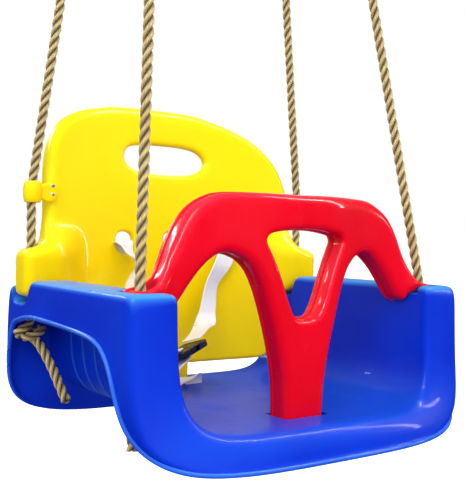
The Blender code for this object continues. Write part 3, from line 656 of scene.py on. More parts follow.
def plate(name, outer, holes, front, rear, look, steps, hole_steps, grid, walls):
    """A solid between two faces y = front(x, z, edge, hole) and y = rear(...) over an outline in
    (x, z). edge and hole are the distances to the outline and to the nearest hole. steps are the
    distances from the outline at which the faces get points, and walls the shares of the edge."""
    loops = [outer] + list(holes)
    spots = []
    spans = []
    for loop in loops:
        spans.append((len(spots), len(loop)))
        spots += [tuple(p) for p in loop]
    extra = []
    for number, loop in enumerate(loops):
        table = np.array(loop)
        along = np.roll(table, -1, axis=0) - np.roll(table, 1, axis=0)
        normal = np.stack([-along[:, 1], along[:, 0]], 1) / np.linalg.norm(along, axis=1)[:, None]
        if not inside(outer, table[:1] + normal[:1] * 1e-5)[0] and number == 0:
            normal = -normal
        if number and inside(loop, table[:1] + normal[:1] * 1e-5)[0]:
            normal = -normal
        for step in (hole_steps if number else steps):
            moved = table + normal * step
            gap = np.min([distance_to(l, moved) for l in loops], axis=0)
            keep = gap > step * 0.93
            extra.append(moved[keep])
    low = np.array(outer).min(0)
    high = np.array(outer).max(0)
    xs = np.arange(low[0], high[0], grid)
    zs = np.arange(low[1], high[1], grid * 0.866)
    rows = [np.stack([xs + (grid / 2 if j % 2 else 0.0), np.full(len(xs), z)], 1) for j, z in enumerate(zs)]
    inner = np.concatenate(rows)
    inner = inner[inside(outer, inner)]
    for number, loop in enumerate(loops):
        reach = (hole_steps if number else steps)[-1]
        inner = inner[distance_to(loop, inner) > reach + grid * 0.45]
    for hole in holes:
        inner = inner[~inside(hole, inner)]
    extra.append(inner)
    spots += [tuple(p) for p in np.concatenate(extra)]
    edges = [(s + i, s + (i + 1) % n) for s, n in spans for i in range(n)]
    points, _, triangles, origin, _, _ = delaunay_2d_cdt(
        [Vector(p) for p in spots], edges, [], 0, 1e-7
    )
    flat = np.array([tuple(p) for p in points])
    middle = np.array([flat[list(t)].mean(0) for t in triangles])
    keep = inside(outer, middle)
    for hole in holes:
        keep &= ~inside(hole, middle)
    triangles = [t for t, k in zip(triangles, keep) if k]
    edge = distance_to(outer, flat)
    gap = np.full(len(flat), 1.0)
    for hole in holes:
        gap = np.minimum(gap, distance_to(hole, flat))
    count = len(flat)
    verts = [(x, front(x, z, e, h), z) for (x, z), e, h in zip(flat, edge, gap)]
    verts += [(x, rear(x, z, e, h), z) for (x, z), e, h in zip(flat, edge, gap)]
    faces = [tuple(t) for t in triangles] + [tuple(count + v for v in t[::-1]) for t in triangles]
    where = {old: new for new, olds in enumerate(origin) for old in olds}
    for start, size in spans:
        ring = [where[start + i] for i in range(size)]
        previous = ring
        for share, offset in walls:
            fresh = []
            for i, v in enumerate(ring):
                x, z = flat[v]
                if offset:
                    a = flat[ring[i - 1]]
                    b = flat[ring[(i + 1) % size]]
                    away = np.array([-(b - a)[1], (b - a)[0]])
                    away = away / max(np.linalg.norm(away), 1e-12)
                    probe = np.array([[x, z]]) + away * 1e-5
                    if not inside(outer, probe)[0] or any(inside(hole, probe)[0] for hole in holes):
                        away = -away
                    x, z = x + away[0] * offset, z + away[1] * offset
                y = verts[v][1] * (1 - share) + verts[count + v][1] * share
                fresh.append(len(verts))
                verts.append((x, y, z))
            for i in range(size):
                j = (i + 1) % size
                faces.append((previous[i], previous[j], fresh[j], fresh[i]))
            previous = fresh
        last = [count + v for v in ring]
        for i in range(size):
            j = (i + 1) % size
            faces.append((previous[i], previous[j], last[j], last[i]))
    return piece(name, verts, faces, look)


def quarter(radius, distance):
    """How far a rounded edge falls away at this distance from the outline."""
    if distance >= radius:
        return 0.0
    return radius - math.sqrt(max(0.0, radius ** 2 - (radius - distance) ** 2))


def mirrored(half):
    """A closed outline from its right half, which runs from one end on the middle to the other."""
    other = [(-x, z) for x, z in reversed(half) if x > 1e-6]
    return list(half) + other


def loop_of(points, spacing):
    return [(p.x, p.y) for p in spline([(x, z, 0.0) for x, z in points], spacing, closed=True)]


# Guard bar ----------------------------------------------------------------------------------

GUARD_HALF = 0.014
GUARD_FRONT_ROUND = 0.0095
GUARD_REAR_ROUND = 0.0022
GUARD_FOOT_Z = -0.016
# The lugs' holes are slots round the ropes, long enough for the ropes' lean as the guard rises.
LUG_HOLE_INSET = 0.0060
LUG_HOLE_REACH = 0.0050
LUG_HOLE_RADIUS = 0.0076
GUARD_EDGE = (
    (0.0000, GUARD_FOOT_Z), (0.0180, GUARD_FOOT_Z), (0.0245, -0.0150), (0.0260, -0.0110),
    (0.0262, 0.0060), (0.0285, 0.0380), (0.0345, 0.0700), (0.0425, 0.1000), (0.0520, 0.1300),
    (0.0610, 0.1490), (0.0710, 0.1600), (0.0800, 0.1650), (0.0890, 0.1675), (0.0990, 0.1665),
    (0.1100, 0.1600), (0.1210, 0.1500), (0.1320, 0.1370), (0.1440, 0.1210), (0.1500, 0.1160),
    (0.1560, 0.1140), (0.1605, 0.1165), (0.1630, 0.1215), (0.1700, 0.1228), (0.1735, 0.1262),
    (0.1940, 0.1262), (0.1962, 0.1285), (0.1945, 0.1315), (0.1870, 0.1335), (0.1760, 0.1365),
    (0.1680, 0.1425), (0.1605, 0.1540), (0.1510, 0.1740), (0.1405, 0.1940), (0.1280, 0.2095),
    (0.1125, 0.2195), (0.0940, 0.2255), (0.0600, 0.2268), (0.0000, 0.2265),
)
GUARD_WINDOW = (
    (0.0000, 0.0990), (0.0100, 0.0998), (0.0165, 0.1045), (0.0240, 0.1190), (0.0312, 0.1385),
    (0.0385, 0.1560), (0.0460, 0.1710), (0.0500, 0.1800), (0.0455, 0.1867), (0.0310, 0.1900),
    (0.0150, 0.1920), (0.0000, 0.1925),
)


def guard_bow(x, z):
    """Where the bar's middle plane lies: forward at the post, swept back in its limbs."""
    limb = smoothstep((abs(x) - 0.020) / 0.100)
    lug = smoothstep((abs(x) - 0.150) / 0.020)
    rise = min(1.0, max(0.0, z / 0.100))
    return 0.0005 - 0.0030 - 0.0015 * rise + 0.0145 * limb - 0.0070 * lug


def guard_bar():
    """A two-shell moulding: soft front edges, a parting groove near the rear, and a flat rear lip."""
    outer = loop_of(mirrored(GUARD_EDGE), 0.0026)
    window = loop_of(mirrored(GUARD_WINDOW), 0.0026)

    def front(x, z, edge, gap):
        near = max(quarter(GUARD_FRONT_ROUND, edge), quarter(0.0060, gap))
        return guard_bow(x, z) - GUARD_HALF + near

    def rear(x, z, edge, gap):
        near = quarter(GUARD_REAR_ROUND, min(edge, gap))
        return guard_bow(x, z) + GUARD_HALF - near

    obj = plate(
        "guard_bar_moulding", outer, [window], front, rear, RED,
        steps=(0.0003, 0.0011, 0.0024, 0.0042, 0.0065, 0.0095),
        hole_steps=(0.0003, 0.0010, 0.0022, 0.0040, 0.0060),
        grid=0.0060,
        walls=(
            (0.35, 0.0), (0.54, 0.0), (0.57, 0.0011), (0.63, 0.0013), (0.66, -0.0006), (0.71, -0.0014),
            (0.84, -0.0016), (0.94, -0.0010),
        ),
    )
    cutters = []
    for hand, side in SIDES:
        x = side * (FRONT_X - LUG_HOLE_INSET)
        low = []
        high = []
        for k in range(24):
            turn = math.tau * k / 24
            reach = LUG_HOLE_REACH if math.cos(turn) * side > 0 else -LUG_HOLE_REACH
            across = x + side * reach + LUG_HOLE_RADIUS * math.cos(turn)
            deep = FRONT_Y - 0.0008 + LUG_HOLE_RADIUS * math.sin(turn)
            spot = Vector((across, deep))
            low.append((spot.x, spot.y + FRONT_LEAN.y * -0.021, 0.110))
            high.append((spot.x, spot.y + FRONT_LEAN.y * 0.019, 0.150))
        count = len(low)
        faces = [tuple(range(count)), tuple(range(2 * count - 1, count - 1, -1))]
        faces += [(i, (i + 1) % count, count + (i + 1) % count, count + i) for i in range(count)]
        cutters.append(piece("lug_hole_" + hand, low + high, faces, RED))
    cut(obj, cutters)
    shade(obj, 38.0)
    return place(obj, "guard", ["guard_bar"])


# Backrest -----------------------------------------------------------------------------------

BACK_ROLL = 0.0110
BACK_DEEP = 0.0200
BACK_WALL = 0.0042
BACK_EDGE = (
    (0.0000, 0.0195), (0.0700, 0.0195), (0.1180, 0.0200), (0.1310, 0.0225), (0.1400, 0.0300),
    (0.1490, 0.0480), (0.1560, 0.0800), (0.1590, 0.1020), (0.1620, 0.1085), (0.1700, 0.1097),
    (0.1950, 0.1097), (0.2080, 0.1130), (0.2115, 0.1210), (0.2115, 0.1530), (0.2085, 0.1620),
    (0.2000, 0.1665), (0.1920, 0.1690), (0.1850, 0.1740), (0.1812, 0.1840),
)
BACK_CROWN = {
    -1: ((0.1765, 0.2050), (0.1752, 0.2450), (0.1710, 0.2780), (0.1620, 0.3020), (0.1460, 0.3220),
         (0.1230, 0.3345), (0.0980, 0.3410), (0.0600, 0.3465)),
    1: ((0.1835, 0.2050), (0.1815, 0.2450), (0.1715, 0.2770), (0.1560, 0.2985), (0.1340, 0.3165),
        (0.1080, 0.3290), (0.0740, 0.3395), (0.0300, 0.3468)),
}
HANDLE_EDGE = (
    (-0.0640, 0.2830), (-0.0600, 0.2925), (-0.0500, 0.2975), (-0.0300, 0.3000), (0.0000, 0.3005),
    (0.0300, 0.2990), (0.0480, 0.2940), (0.0570, 0.2830), (0.0520, 0.2715), (0.0360, 0.2645),
    (0.0000, 0.2620), (-0.0350, 0.2635), (-0.0530, 0.2680), (-0.0620, 0.2755),
)


def back_y(x, z):
    """The front surface of the panel: it leans back and is hollow across."""
    return 0.2365 + 0.130 * (z - 0.020) - 0.020 * (x / 0.18) ** 2


def shoulder_share(x, z):
    """1 in the stepped shoulders that sit on the arms, 0 in the panel."""
    return smoothstep((abs(x) - 0.1250) / 0.0500) * smoothstep((0.2000 - z) / 0.0420)


def back_front(x, z, edge, gap):
    base = back_y(x, z)
    share = shoulder_share(x, z)
    base = base * (1 - share) + 0.2160 * share
    roll = BACK_ROLL if z > 0.05 else BACK_ROLL * 0.35 + BACK_ROLL * 0.65 * max(0.0, (z - 0.02) / 0.03)
    return base + max(quarter(roll, edge), quarter(0.0060 if z > 0.23 else 0.0035, gap))


def back_rear(x, z, edge, gap):
    base = back_y(x, z)
    share = shoulder_share(x, z)
    skirt = BACK_DEEP * smoothstep((z - 0.030) / 0.030)
    hollow = smoothstep((edge - BACK_WALL) / 0.0012)
    rim = smoothstep((gap - 0.0030) / 0.0012)
    deep = BACK_WALL + (skirt - BACK_WALL) * (1 - hollow) if skirt > BACK_WALL else BACK_WALL
    deep = max(deep, BACK_WALL + 0.0060 * (1 - rim))
    panel = base + deep
    solid = 0.2545 - quarter(0.0060, edge)
    return panel * (1 - share) + solid * share


def rounded_slot(x, z, wide, tall, radius):
    points = []
    for cx, cz, start in ((1, 1, 0), (-1, 1, 90), (-1, -1, 180), (1, -1, 270)):
        for step in range(7):
            turn = math.radians(start + 90 * step / 6)
            points.append((
                x + cx * (wide / 2 - radius) + radius * math.cos(turn),
                z + cz * (tall / 2 - radius) + radius * math.sin(turn),
            ))
    return points


def densify(loop, spacing):
    """A polygon with extra points on its straight runs."""
    made = []
    for (ax, az), (bx, bz) in zip(loop, loop[1:] + loop[:1]):
        count = max(1, round(math.dist((ax, az), (bx, bz)) / spacing))
        made += [(ax + (bx - ax) * i / count, az + (bz - az) * i / count) for i in range(count)]
    return made


def backrest():
    right = BACK_EDGE + BACK_CROWN[1]
    left = [(-x, z) for x, z in (BACK_EDGE + BACK_CROWN[-1])[:0:-1]]
    outer = loop_of(list(right) + left, 0.0036)
    holes = [loop_of(HANDLE_EDGE, 0.0030)]
    for x in (-0.070, 0.0, 0.070):
        holes.append(densify(rounded_slot(x, 0.1735, 0.0255, 0.0275, 0.0095), 0.003))
    obj = plate(
        "backrest_moulding", outer, holes, back_front, back_rear, YELLOW,
        steps=(0.0004, 0.0013, 0.0029, BACK_WALL, 0.0054, 0.0080, BACK_ROLL),
        hole_steps=(0.0004, 0.0012, 0.0026, 0.0042, 0.0060),
        grid=0.0085, walls=((0.30, 0.0), (0.60, 0.0), (0.90, 0.0)),
    )
    leg = box("back_leg", (-0.0130, 0.2345, -0.0150), (0.0130, 0.2397, 0.0300), YELLOW, 0.0012)
    cutters = []
    for hand, side in SIDES:
        cutters.append(rod(
            "shoulder_hole_" + hand, (side * REAR_X, REAR_Y, 0.095), (side * REAR_X, REAR_Y, 0.185),
            ROPE / 2 + 0.0012, YELLOW,
        ))
    cut(obj, cutters)
    shade(obj, 38.0)
    shade(leg, 30.0)
    return place(join("backrest_moulding", [obj, leg]), "seat", ["backrest"])


# Seat shell ---------------------------------------------------------------------------------

# Each row across the shell: y at the arm, top height of the arm there, y at the floor.
ROWS = (
    (-0.0320, ARM_TOP, -0.0480),
    (-0.0180, ARM_TOP, -0.0300),
    (0.0200, ARM_TOP, 0.0200),
    (0.1750, ARM_TOP, 0.1600),
    (0.1950, ARM_TOP, 0.2000),
    (0.2085, ARM_TOP, 0.2120),
    (0.2105, SHELF_TOP, 0.2200),
    (0.2340, SHELF_TOP, 0.2310),
    (0.2575, SHELF_TOP, 0.2420),
    (0.2595, POST_TOP, 0.2510),
    (0.2695, POST_TOP, 0.2600),
)
# Lower edge of the apron under each row, as (y, z).
APRON = (
    None,
    (0.0300, 0.0860),
    (0.0550, 0.0915),
    (0.1650, 0.0950),
    (0.1850, 0.0950),
    (0.1990, 0.0945),
    (0.2120, 0.0930),
    (0.2260, 0.0900),
    (0.2370, 0.0875),
    (0.2440, 0.0845),
    None,
)
# Outer edge of the front and rear faces under each column of the channel, as (x, y, z).
FRONT_EDGE = (
    (0.0000, -0.0690, -0.0270),
    (0.0720, -0.0690, -0.0270),
    (0.1280, -0.0650, -0.0255),
    (0.1760, -0.0550, -0.0190),
    (0.2070, -0.0420, -0.0010),
    (SIDE_X, -0.0335, 0.0450),
    (SIDE_X, -0.0320, 0.0980),
)
REAR_EDGE = (
    (0.0000, 0.2820, -0.0300),
    (0.0720, 0.2820, -0.0300),
    (0.1280, 0.2815, -0.0280),
    (0.1760, 0.2800, -0.0190),
    (0.2070, 0.2770, 0.0000),
    (SIDE_X, 0.2740, 0.0450),
    (SIDE_X, 0.2710, 0.0900),
)
# The return of both faces along the side: three loops at each column, as (x, y, z).
FRONT_RETURN = (
    ((0.0000, -0.0705, -0.0295), (0.0000, -0.0725, -0.0310), (0.0000, -0.0730, -0.0330)),
    ((0.0720, -0.0705, -0.0295), (0.0720, -0.0725, -0.0310), (0.0720, -0.0730, -0.0330)),
    ((0.1285, -0.0660, -0.0285), (0.1290, -0.0680, -0.0300), (0.1295, -0.0680, -0.0320)),
    ((0.1785, -0.0545, -0.0220), (0.1805, -0.0550, -0.0240), (0.1815, -0.0540, -0.0260)),
    ((0.2090, -0.0360, -0.0010), (0.2100, -0.0270, 0.0010), (0.2130, -0.0230, 0.0020)),
    ((SIDE_X, -0.0210, 0.0440), (SIDE_X, -0.0105, 0.0430), (0.2165, -0.0060, 0.0415)),
    ((SIDE_X, -0.0180, 0.0900), (SIDE_X, 0.0000, 0.0665), (0.2165, 0.0040, 0.0625)),
    ((SIDE_X, -0.0160, 0.1150), (SIDE_X, 0.0155, 0.0810), (0.2165, 0.0185, 0.0765)),
)
REAR_RETURN = (
    ((0.0000, 0.2835, -0.0325), (0.0000, 0.2855, -0.0340), (0.0000, 0.2860, -0.0365)),
    ((0.0720, 0.2835, -0.0325), (0.0720, 0.2855, -0.0340), (0.0720, 0.2860, -0.0365)),
    ((0.1285, 0.2825, -0.0305), (0.1290, 0.2845, -0.0325), (0.1295, 0.2850, -0.0345)),
    ((0.1780, 0.2805, -0.0220), (0.1800, 0.2820, -0.0240), (0.1815, 0.2820, -0.0260)),
    ((0.2090, 0.2740, 0.0000), (0.2100, 0.2680, 0.0010), (0.2130, 0.2650, 0.0010)),
    ((SIDE_X, 0.2680, 0.0440), (SIDE_X, 0.2620, 0.0420), (0.2165, 0.2590, 0.0400)),
    ((SIDE_X, 0.2655, 0.0860), (SIDE_X, 0.2575, 0.0640), (0.2165, 0.2545, 0.0615)),
    ((SIDE_X, 0.2620, 0.1080), (SIDE_X, 0.2510, 0.0780), (0.2165, 0.2485, 0.0745)),
)


def channel_column(row):
    """Points of one row from the middle of the floor out to the inner top corner of the arm."""
    y_arm, top, y_floor = row
    heights = (0.0, 0.0, 0.0, 0.0105, 0.040, 0.085, top - 0.0145, top)
    if top < ARM_TOP:
        heights = (0.0, 0.0, 0.0, 0.0105, 0.040, 0.072, top - 0.0100, top)
    across = (0.0, 0.070, 0.120, 0.1475, 0.1600, 0.1612, 0.1618, ARM_IN)
    share = (0.0, 0.0, 0.1, 0.4, 0.8, 1.0, 1.0, 1.0)
    return [(x, y_floor + (y_arm - y_floor) * t, z) for x, z, t in zip(across, heights, share)]


def face_band(inner, edge, top_row, forward):
    """Loops from the end of the channel out to the edge of the front or rear face."""
    loops = [inner]
    for share, bulge, top in ((0.27, 0.0065, 8), (0.72, 0.0050, 9), (1.0, 0.0, 10)):
        loop = []
        for i, (a, b) in enumerate(zip(inner, edge)):
            point = Vector(a).lerp(Vector(b), share)
            low = max(0.0, 1.0 - i / 4.0)
            point += Vector((0.0, forward * bulge * low, bulge * low))
            loop.append(tuple(point))
        loop.append(top_row[top])
        loops.append(loop)
    return loops


def shell_cage():
    """The outside skin of the right half of the seat, as a coarse cage that gets smoothed."""
    verts = []
    index = {}
    faces = []

    def at(point):
        key = tuple(round(v, 6) for v in point)
        if key not in index:
            index[key] = len(verts)
            verts.append(key)
        return index[key]

    rows = []
    for row, low in zip(ROWS, APRON):
        y_arm, top, _ = row
        points = channel_column(row)
        points += [(0.1765, y_arm, top), (0.1990, y_arm, top), (ARM_OUT, y_arm, top)]
        if low:
            y_mid = y_arm + (low[0] - y_arm) * 0.45
            side = top - 0.38 * (top - low[1])
            points += [(SIDE_X, y_mid, side), (SIDE_X, low[0], low[1])]
            points.append((0.2165, low[0], low[1] - 0.0045))
        rows.append(points)
    for a, b in zip(rows, rows[1:]):
        for i in range(min(len(a), len(b)) - 1):
            faces.append([at(a[i]), at(a[i + 1]), at(b[i + 1]), at(b[i])])
    ends = (
        (rows[0], FRONT_EDGE, FRONT_RETURN, rows[1], -1.0),
        (rows[-1], REAR_EDGE, REAR_RETURN, rows[-2], 1.0),
    )
    for row, edge, back, beside, forward in ends:
        loops = face_band(row[:8], edge, row, forward)
        loops += [[station[k] for station in back] for k in range(3)]
        for a, b in zip(loops, loops[1:]):
            for i in range(7):
                faces.append([at(a[i]), at(a[i + 1]), at(b[i + 1]), at(b[i])])
        corner = [row[10]] + list(back[7])
        for k in range(3):
            faces.append([at(corner[k]), at(corner[k + 1]), at(beside[11 + k]), at(beside[10 + k])])
    return verts, faces


RIM_RADIUS = 0.0023
RIM_INSET = 0.0019


def rim_bead(skin):
    """The rolled lip along the shell's free edge."""
    work = bmesh.new()
    work.from_mesh(skin.data)
    work.verts.ensure_lookup_table()
    follow = {}
    for edge in work.edges:
        if edge.is_boundary:
            a, b = edge.verts
            follow.setdefault(a.index, []).append(b.index)
            follow.setdefault(b.index, []).append(a.index)
    spots = {}
    for index in follow:
        vertex = work.verts[index]
        inner = [e.other_vert(vertex).co - vertex.co for e in vertex.link_edges if not e.is_boundary]
        spots[index] = vertex.co + sum(inner, Vector()).normalized() * RIM_INSET
    work.free()
    start = min(follow)
    ring = [start]
    before = None
    while True:
        onward = [v for v in follow[ring[-1]] if v != before][0]
        if onward == start:
            break
        before = ring[-1]
        ring.append(onward)
    path = spline([spots[v] for v in ring[::2]], 0.0045, closed=True)
    path.append(path[0])
    verts = []
    faces = []
    sides = 12
    for i, spot in enumerate(path[:-1]):
        along = (path[i + 1] - path[i - 1 if i else -2]).normalized()
        up = Vector((0.0, 0.0, 1.0))
        side = along.cross(up)
        if side.length < 0.2:
            side = along.cross(Vector((1.0, 0.0, 0.0)))
        side.normalize()
        other = side.cross(along)
        for k in range(sides):
            turn = math.tau * k / sides
            verts.append(spot + (side * math.cos(turn) + other * math.sin(turn)) * RIM_RADIUS)
    count = len(path) - 1
    for i in range(count):
        for k in range(sides):
            a = i * sides + k
            b = i * sides + (k + 1) % sides
            c = (i + 1) % count * sides
            faces.append((a, b, c + (k + 1) % sides, c + k))
    # The bead takes the lighter blue, a painted highlight along the rolled lip.
    return piece("rim_bead", verts, faces, BLUE_PAINTED_HIGHLIGHT, 60.0)


def under_rib(number, side, y, skin):
    """A shallow stiffening rib that follows the outside of the channel."""
    middle = Vector((side * 0.110, y, 0.060))
    path = []
    for step in range(40):
        turn = math.radians(30 - 112 * step / 39)
        aim = Vector((side * math.cos(turn), 0.0, math.sin(turn)))
        near = skin.ray_cast(middle, aim)[0]
        far = skin.ray_cast(near + aim * 0.0008, aim)[0]
        if (far - near).length < 3 * WALL:
            path.append(far)
    verts = []
    for i, spot in enumerate(path):
        along = (path[min(i + 1, len(path) - 1)] - path[max(i - 1, 0)]).normalized()
        out = along.cross(Vector((0.0, 1.0, 0.0))).normalized()
        if out.dot(spot - middle) < 0:
            out = -out
        for offset, rise in ((-0.0014, -0.0008), (-0.0007, 0.0014), (0.0007, 0.0014), (0.0014, -0.0008)):
            verts.append(spot + Vector((0.0, offset, 0.0)) + out * rise)
    faces = []
    for i in range(len(path) - 1):
        for k in range(4):
            a = 4 * i + k
            b = 4 * i + (k + 1) % 4
            faces.append((a, b, b + 4, a + 4))
    faces.append((3, 2, 1, 0))
    last = 4 * (len(path) - 1)
    faces.append((last, last + 1, last + 2, last + 3))
    # The ribs take the lighter blue, a painted highlight on their crests.
    return piece(f"under_rib_{number}_{side}", verts, faces, BLUE_PAINTED_HIGHLIGHT, 60.0)


# Where the ribs run across under each arm.
RIB_Y = (0.110, 0.140, 0.170, 0.200)


def seat_shell():
    verts, faces = shell_cage()
    obj = piece("seat_moulding", verts, faces, BLUE)
    if obj.data.polygons[0].normal.z < 0:
        obj.data.flip_normals()
    mirror = obj.modifiers.new("both_sides", "MIRROR")
    mirror.use_clip = True
    mirror.merge_threshold = 0.0001
    rounding = obj.modifiers.new("rounding", "SUBSURF")
    rounding.levels = 3
    rounding.render_levels = 3
    bake(obj)
    bead = rim_bead(obj)
    wall = obj.modifiers.new("wall", "SOLIDIFY")
    wall.thickness = WALL
    wall.offset = -1.0
    wall.use_even_offset = True
    wall.use_quality_normals = True
    bake(obj)
    pads = []
    cutters = []
    for hand, side in SIDES:
        low, high = sorted((side * 0.1665, side * 0.2080))
        pads.append(box("lug_pad_" + hand, (low, -0.0240, 0.1185), (high, 0.0290, 0.1290), BLUE))
        low, high = sorted((side * 0.150, side * 0.1985))
        corners = (low, -0.0165, 0.1250), (high, 0.0245, 0.150)
        cutters.append(box("lug_hollow_" + hand, *corners, BLUE, 0.0020))
        low, high = sorted((side * 0.130, side * 0.1735))
        corners = (low, -0.0165, 0.1210), (high, 0.0245, 0.150)
        cutters.append(box("saddle_hollow_" + hand, *corners, BLUE, 0.0020))
        cutters.append(rod(
            "front_hole_" + hand, (side * FRONT_X, FRONT_Y - 0.0030, 0.105),
            (side * FRONT_X, FRONT_Y + 0.0010, 0.140), ROPE / 2 + 0.0015, BLUE,
        ))
        cutters.append(rod(
            "rear_hole_" + hand, (side * REAR_X, REAR_Y, 0.090), (side * REAR_X, REAR_Y, 0.120),
            ROPE / 2 + 0.0010, BLUE,
        ))
    cutters.append(box("guard_socket", (-0.0285, -0.0190, -0.030), (0.0285, 0.0160, 0.020), BLUE))
    cutters.append(box("leg_slot", (-0.0145, 0.2322, -0.030), (0.0145, 0.2418, 0.020), BLUE))
    cutters.append(box("crotch_slot", (-0.0145, 0.1985, -0.030), (0.0145, 0.2025, 0.020), BLUE))
    cut(obj, pads, "UNION")
    cut(obj, cutters)
    shade(obj, 35.0)
    skin = BVHTree.FromObject(obj, bpy.context.evaluated_depsgraph_get())
    ribs = [under_rib(k, side, y, skin) for _, side in SIDES for k, y in enumerate(RIB_Y)]
    return place(join("seat_moulding", [obj, bead] + ribs), "seat", ["seat_shell"])


# Rope guides and their screws ---------------------------------------------------------------


def plate_y():
    return back_y(0.1760, CLIP_Z - CLIP_TALL / 2) - 0.0006


def rope_guide(hand, side):
    """A band round the rope with a plate that two screws hold to the panel."""
    low = CLIP_Z - CLIP_TALL / 2
    high = CLIP_Z + CLIP_TALL / 2
    centre = Vector((side * REAR_X, REAR_Y, 0.0))
    profile = [(ROPE / 2 + 0.0012, low + 0.0008), (ROPE / 2 + 0.0020, low)]
    for step in range(13):
        turn = math.radians(-90 + 15 * step)
        bulge = 0.0016 * math.cos(turn)
        profile.append((0.0082 + 0.0010 * math.cos(turn) + bulge, CLIP_Z + CLIP_TALL / 2 * math.sin(turn)))
    profile += [(ROPE / 2 + 0.0020, high), (ROPE / 2 + 0.0012, high - 0.0008)]
    verts = []
    faces = []
    around = 40
    for k in range(around):
        turn = math.tau * k / around
        verts += [centre + Vector((r * math.cos(turn), r * math.sin(turn), z)) for r, z in profile]
    size = len(profile)
    for k in range(around):
        for i in range(size):
            a = k * size + i
            b = k * size + (i + 1) % size
            c = (k + 1) % around * size
            faces.append((a, b, c + (i + 1) % size, c + i))
    ring = piece("guide_band_" + hand, verts, faces, YELLOW)
    rear = plate_y()
    half = [(0.1900, 0.0070), (0.1860, 0.0078), (0.1810, 0.0104), (0.1765, 0.0112), (0.1725, 0.0108),
            (0.1690, 0.0090), (0.1668, 0.0058), (0.1660, 0.0000)]
    outline = [(side * x, CLIP_Z + z) for x, z in half]
    outline += [(side * x, CLIP_Z - z) for x, z in reversed(half[:-1])]

    def front(x, z, edge, gap):
        return rear - 0.0036 + quarter(0.0020, edge)

    def behind(x, z, edge, gap):
        return rear - quarter(0.0005, edge)

    tab = plate(
        "guide_plate_" + hand, densify(outline, 0.0020), [], front, behind, YELLOW,
        steps=(0.0002, 0.0007, 0.0014, 0.0020), hole_steps=(), grid=0.0030, walls=((0.5, 0.0),),
    )
    obj = join("rope_guide_moulding_" + hand, [ring, tab])
    place(obj, "seat", ["rope_guide_" + hand])
    for level, z in SCREW_Z.items():
        screw(hand, side, level, z)


def screw(hand, side, level, z):
    """A pan head with a cross recess, and the shank behind it."""
    head = plate_y() - 0.0034
    profile = [(0.0, 0.0019), (0.0010, 0.00185), (0.0018, 0.0014), (0.0023, 0.0007), (0.00245, 0.0),
               (0.0013, 0.0), (0.0013, -0.0100), (0.0004, -0.0128)]
    verts = []
    faces = []
    around = 24
    for k in range(around):
        turn = math.tau * k / around
        verts += [Vector((r * math.cos(turn), -up, r * math.sin(turn))) for r, up in profile[1:]]
    size = len(profile) - 1
    for k in range(around):
        for i in range(size - 1):
            a = k * size + i
            c = (k + 1) % around * size + i
            faces.append((a, a + 1, c + 1, c))
    faces.append(tuple(k * size for k in range(around)))
    faces.append(tuple(k * size + size - 1 for k in range(around))[::-1])
    name = f"guide_screw_{hand}_{level}"
    obj = piece(name + "_plated", verts, faces, PLATING)
    arms = []
    for number in range(2):
        arm = box(f"recess_{number}", (-0.0013, -0.0024, -0.0003), (0.0013, -0.0010, 0.0003), PLATING)
        arm.data.transform(Matrix.Rotation(math.radians(25 + 90 * number), 4, "Y"))
        arms.append(arm)
    cut(obj, arms)
    shade(obj, 30.0)
    obj.data.transform(Matrix.Translation((side * SCREW_X, head, z)))
    place(obj, "seat", [name])


# Harness ------------------------------------------------------------------------------------

# The buckle hangs this far below the line between its straps, and is rolled about its length.
BUCKLE_SAG = 0.0075
BUCKLE_ROLL_DEGREES = 17
BUCKLE_RIGHT = Vector((-0.0120, 0.1700, 0.0600))
BUCKLE_LEFT = Vector((-0.0800, 0.1250, 0.0490))
BUCKLE_ALONG = (BUCKLE_LEFT - BUCKLE_RIGHT).normalized()
BUCKLE_ACROSS = Vector((0.0, 0.0, 1.0)).cross(BUCKLE_ALONG).normalized()
BUCKLE_UP = BUCKLE_ALONG.cross(BUCKLE_ACROSS).normalized()
BUCKLE_FRAME = Matrix((-BUCKLE_ACROSS, BUCKLE_ALONG, BUCKLE_UP)).transposed().to_4x4()
BUCKLE_FRAME.translation = BUCKLE_RIGHT - Vector((0.0035, -0.0020, BUCKLE_SAG))
BUCKLE_FRAME = BUCKLE_FRAME @ Matrix.Rotation(math.radians(BUCKLE_ROLL_DEGREES), 4, "Y")


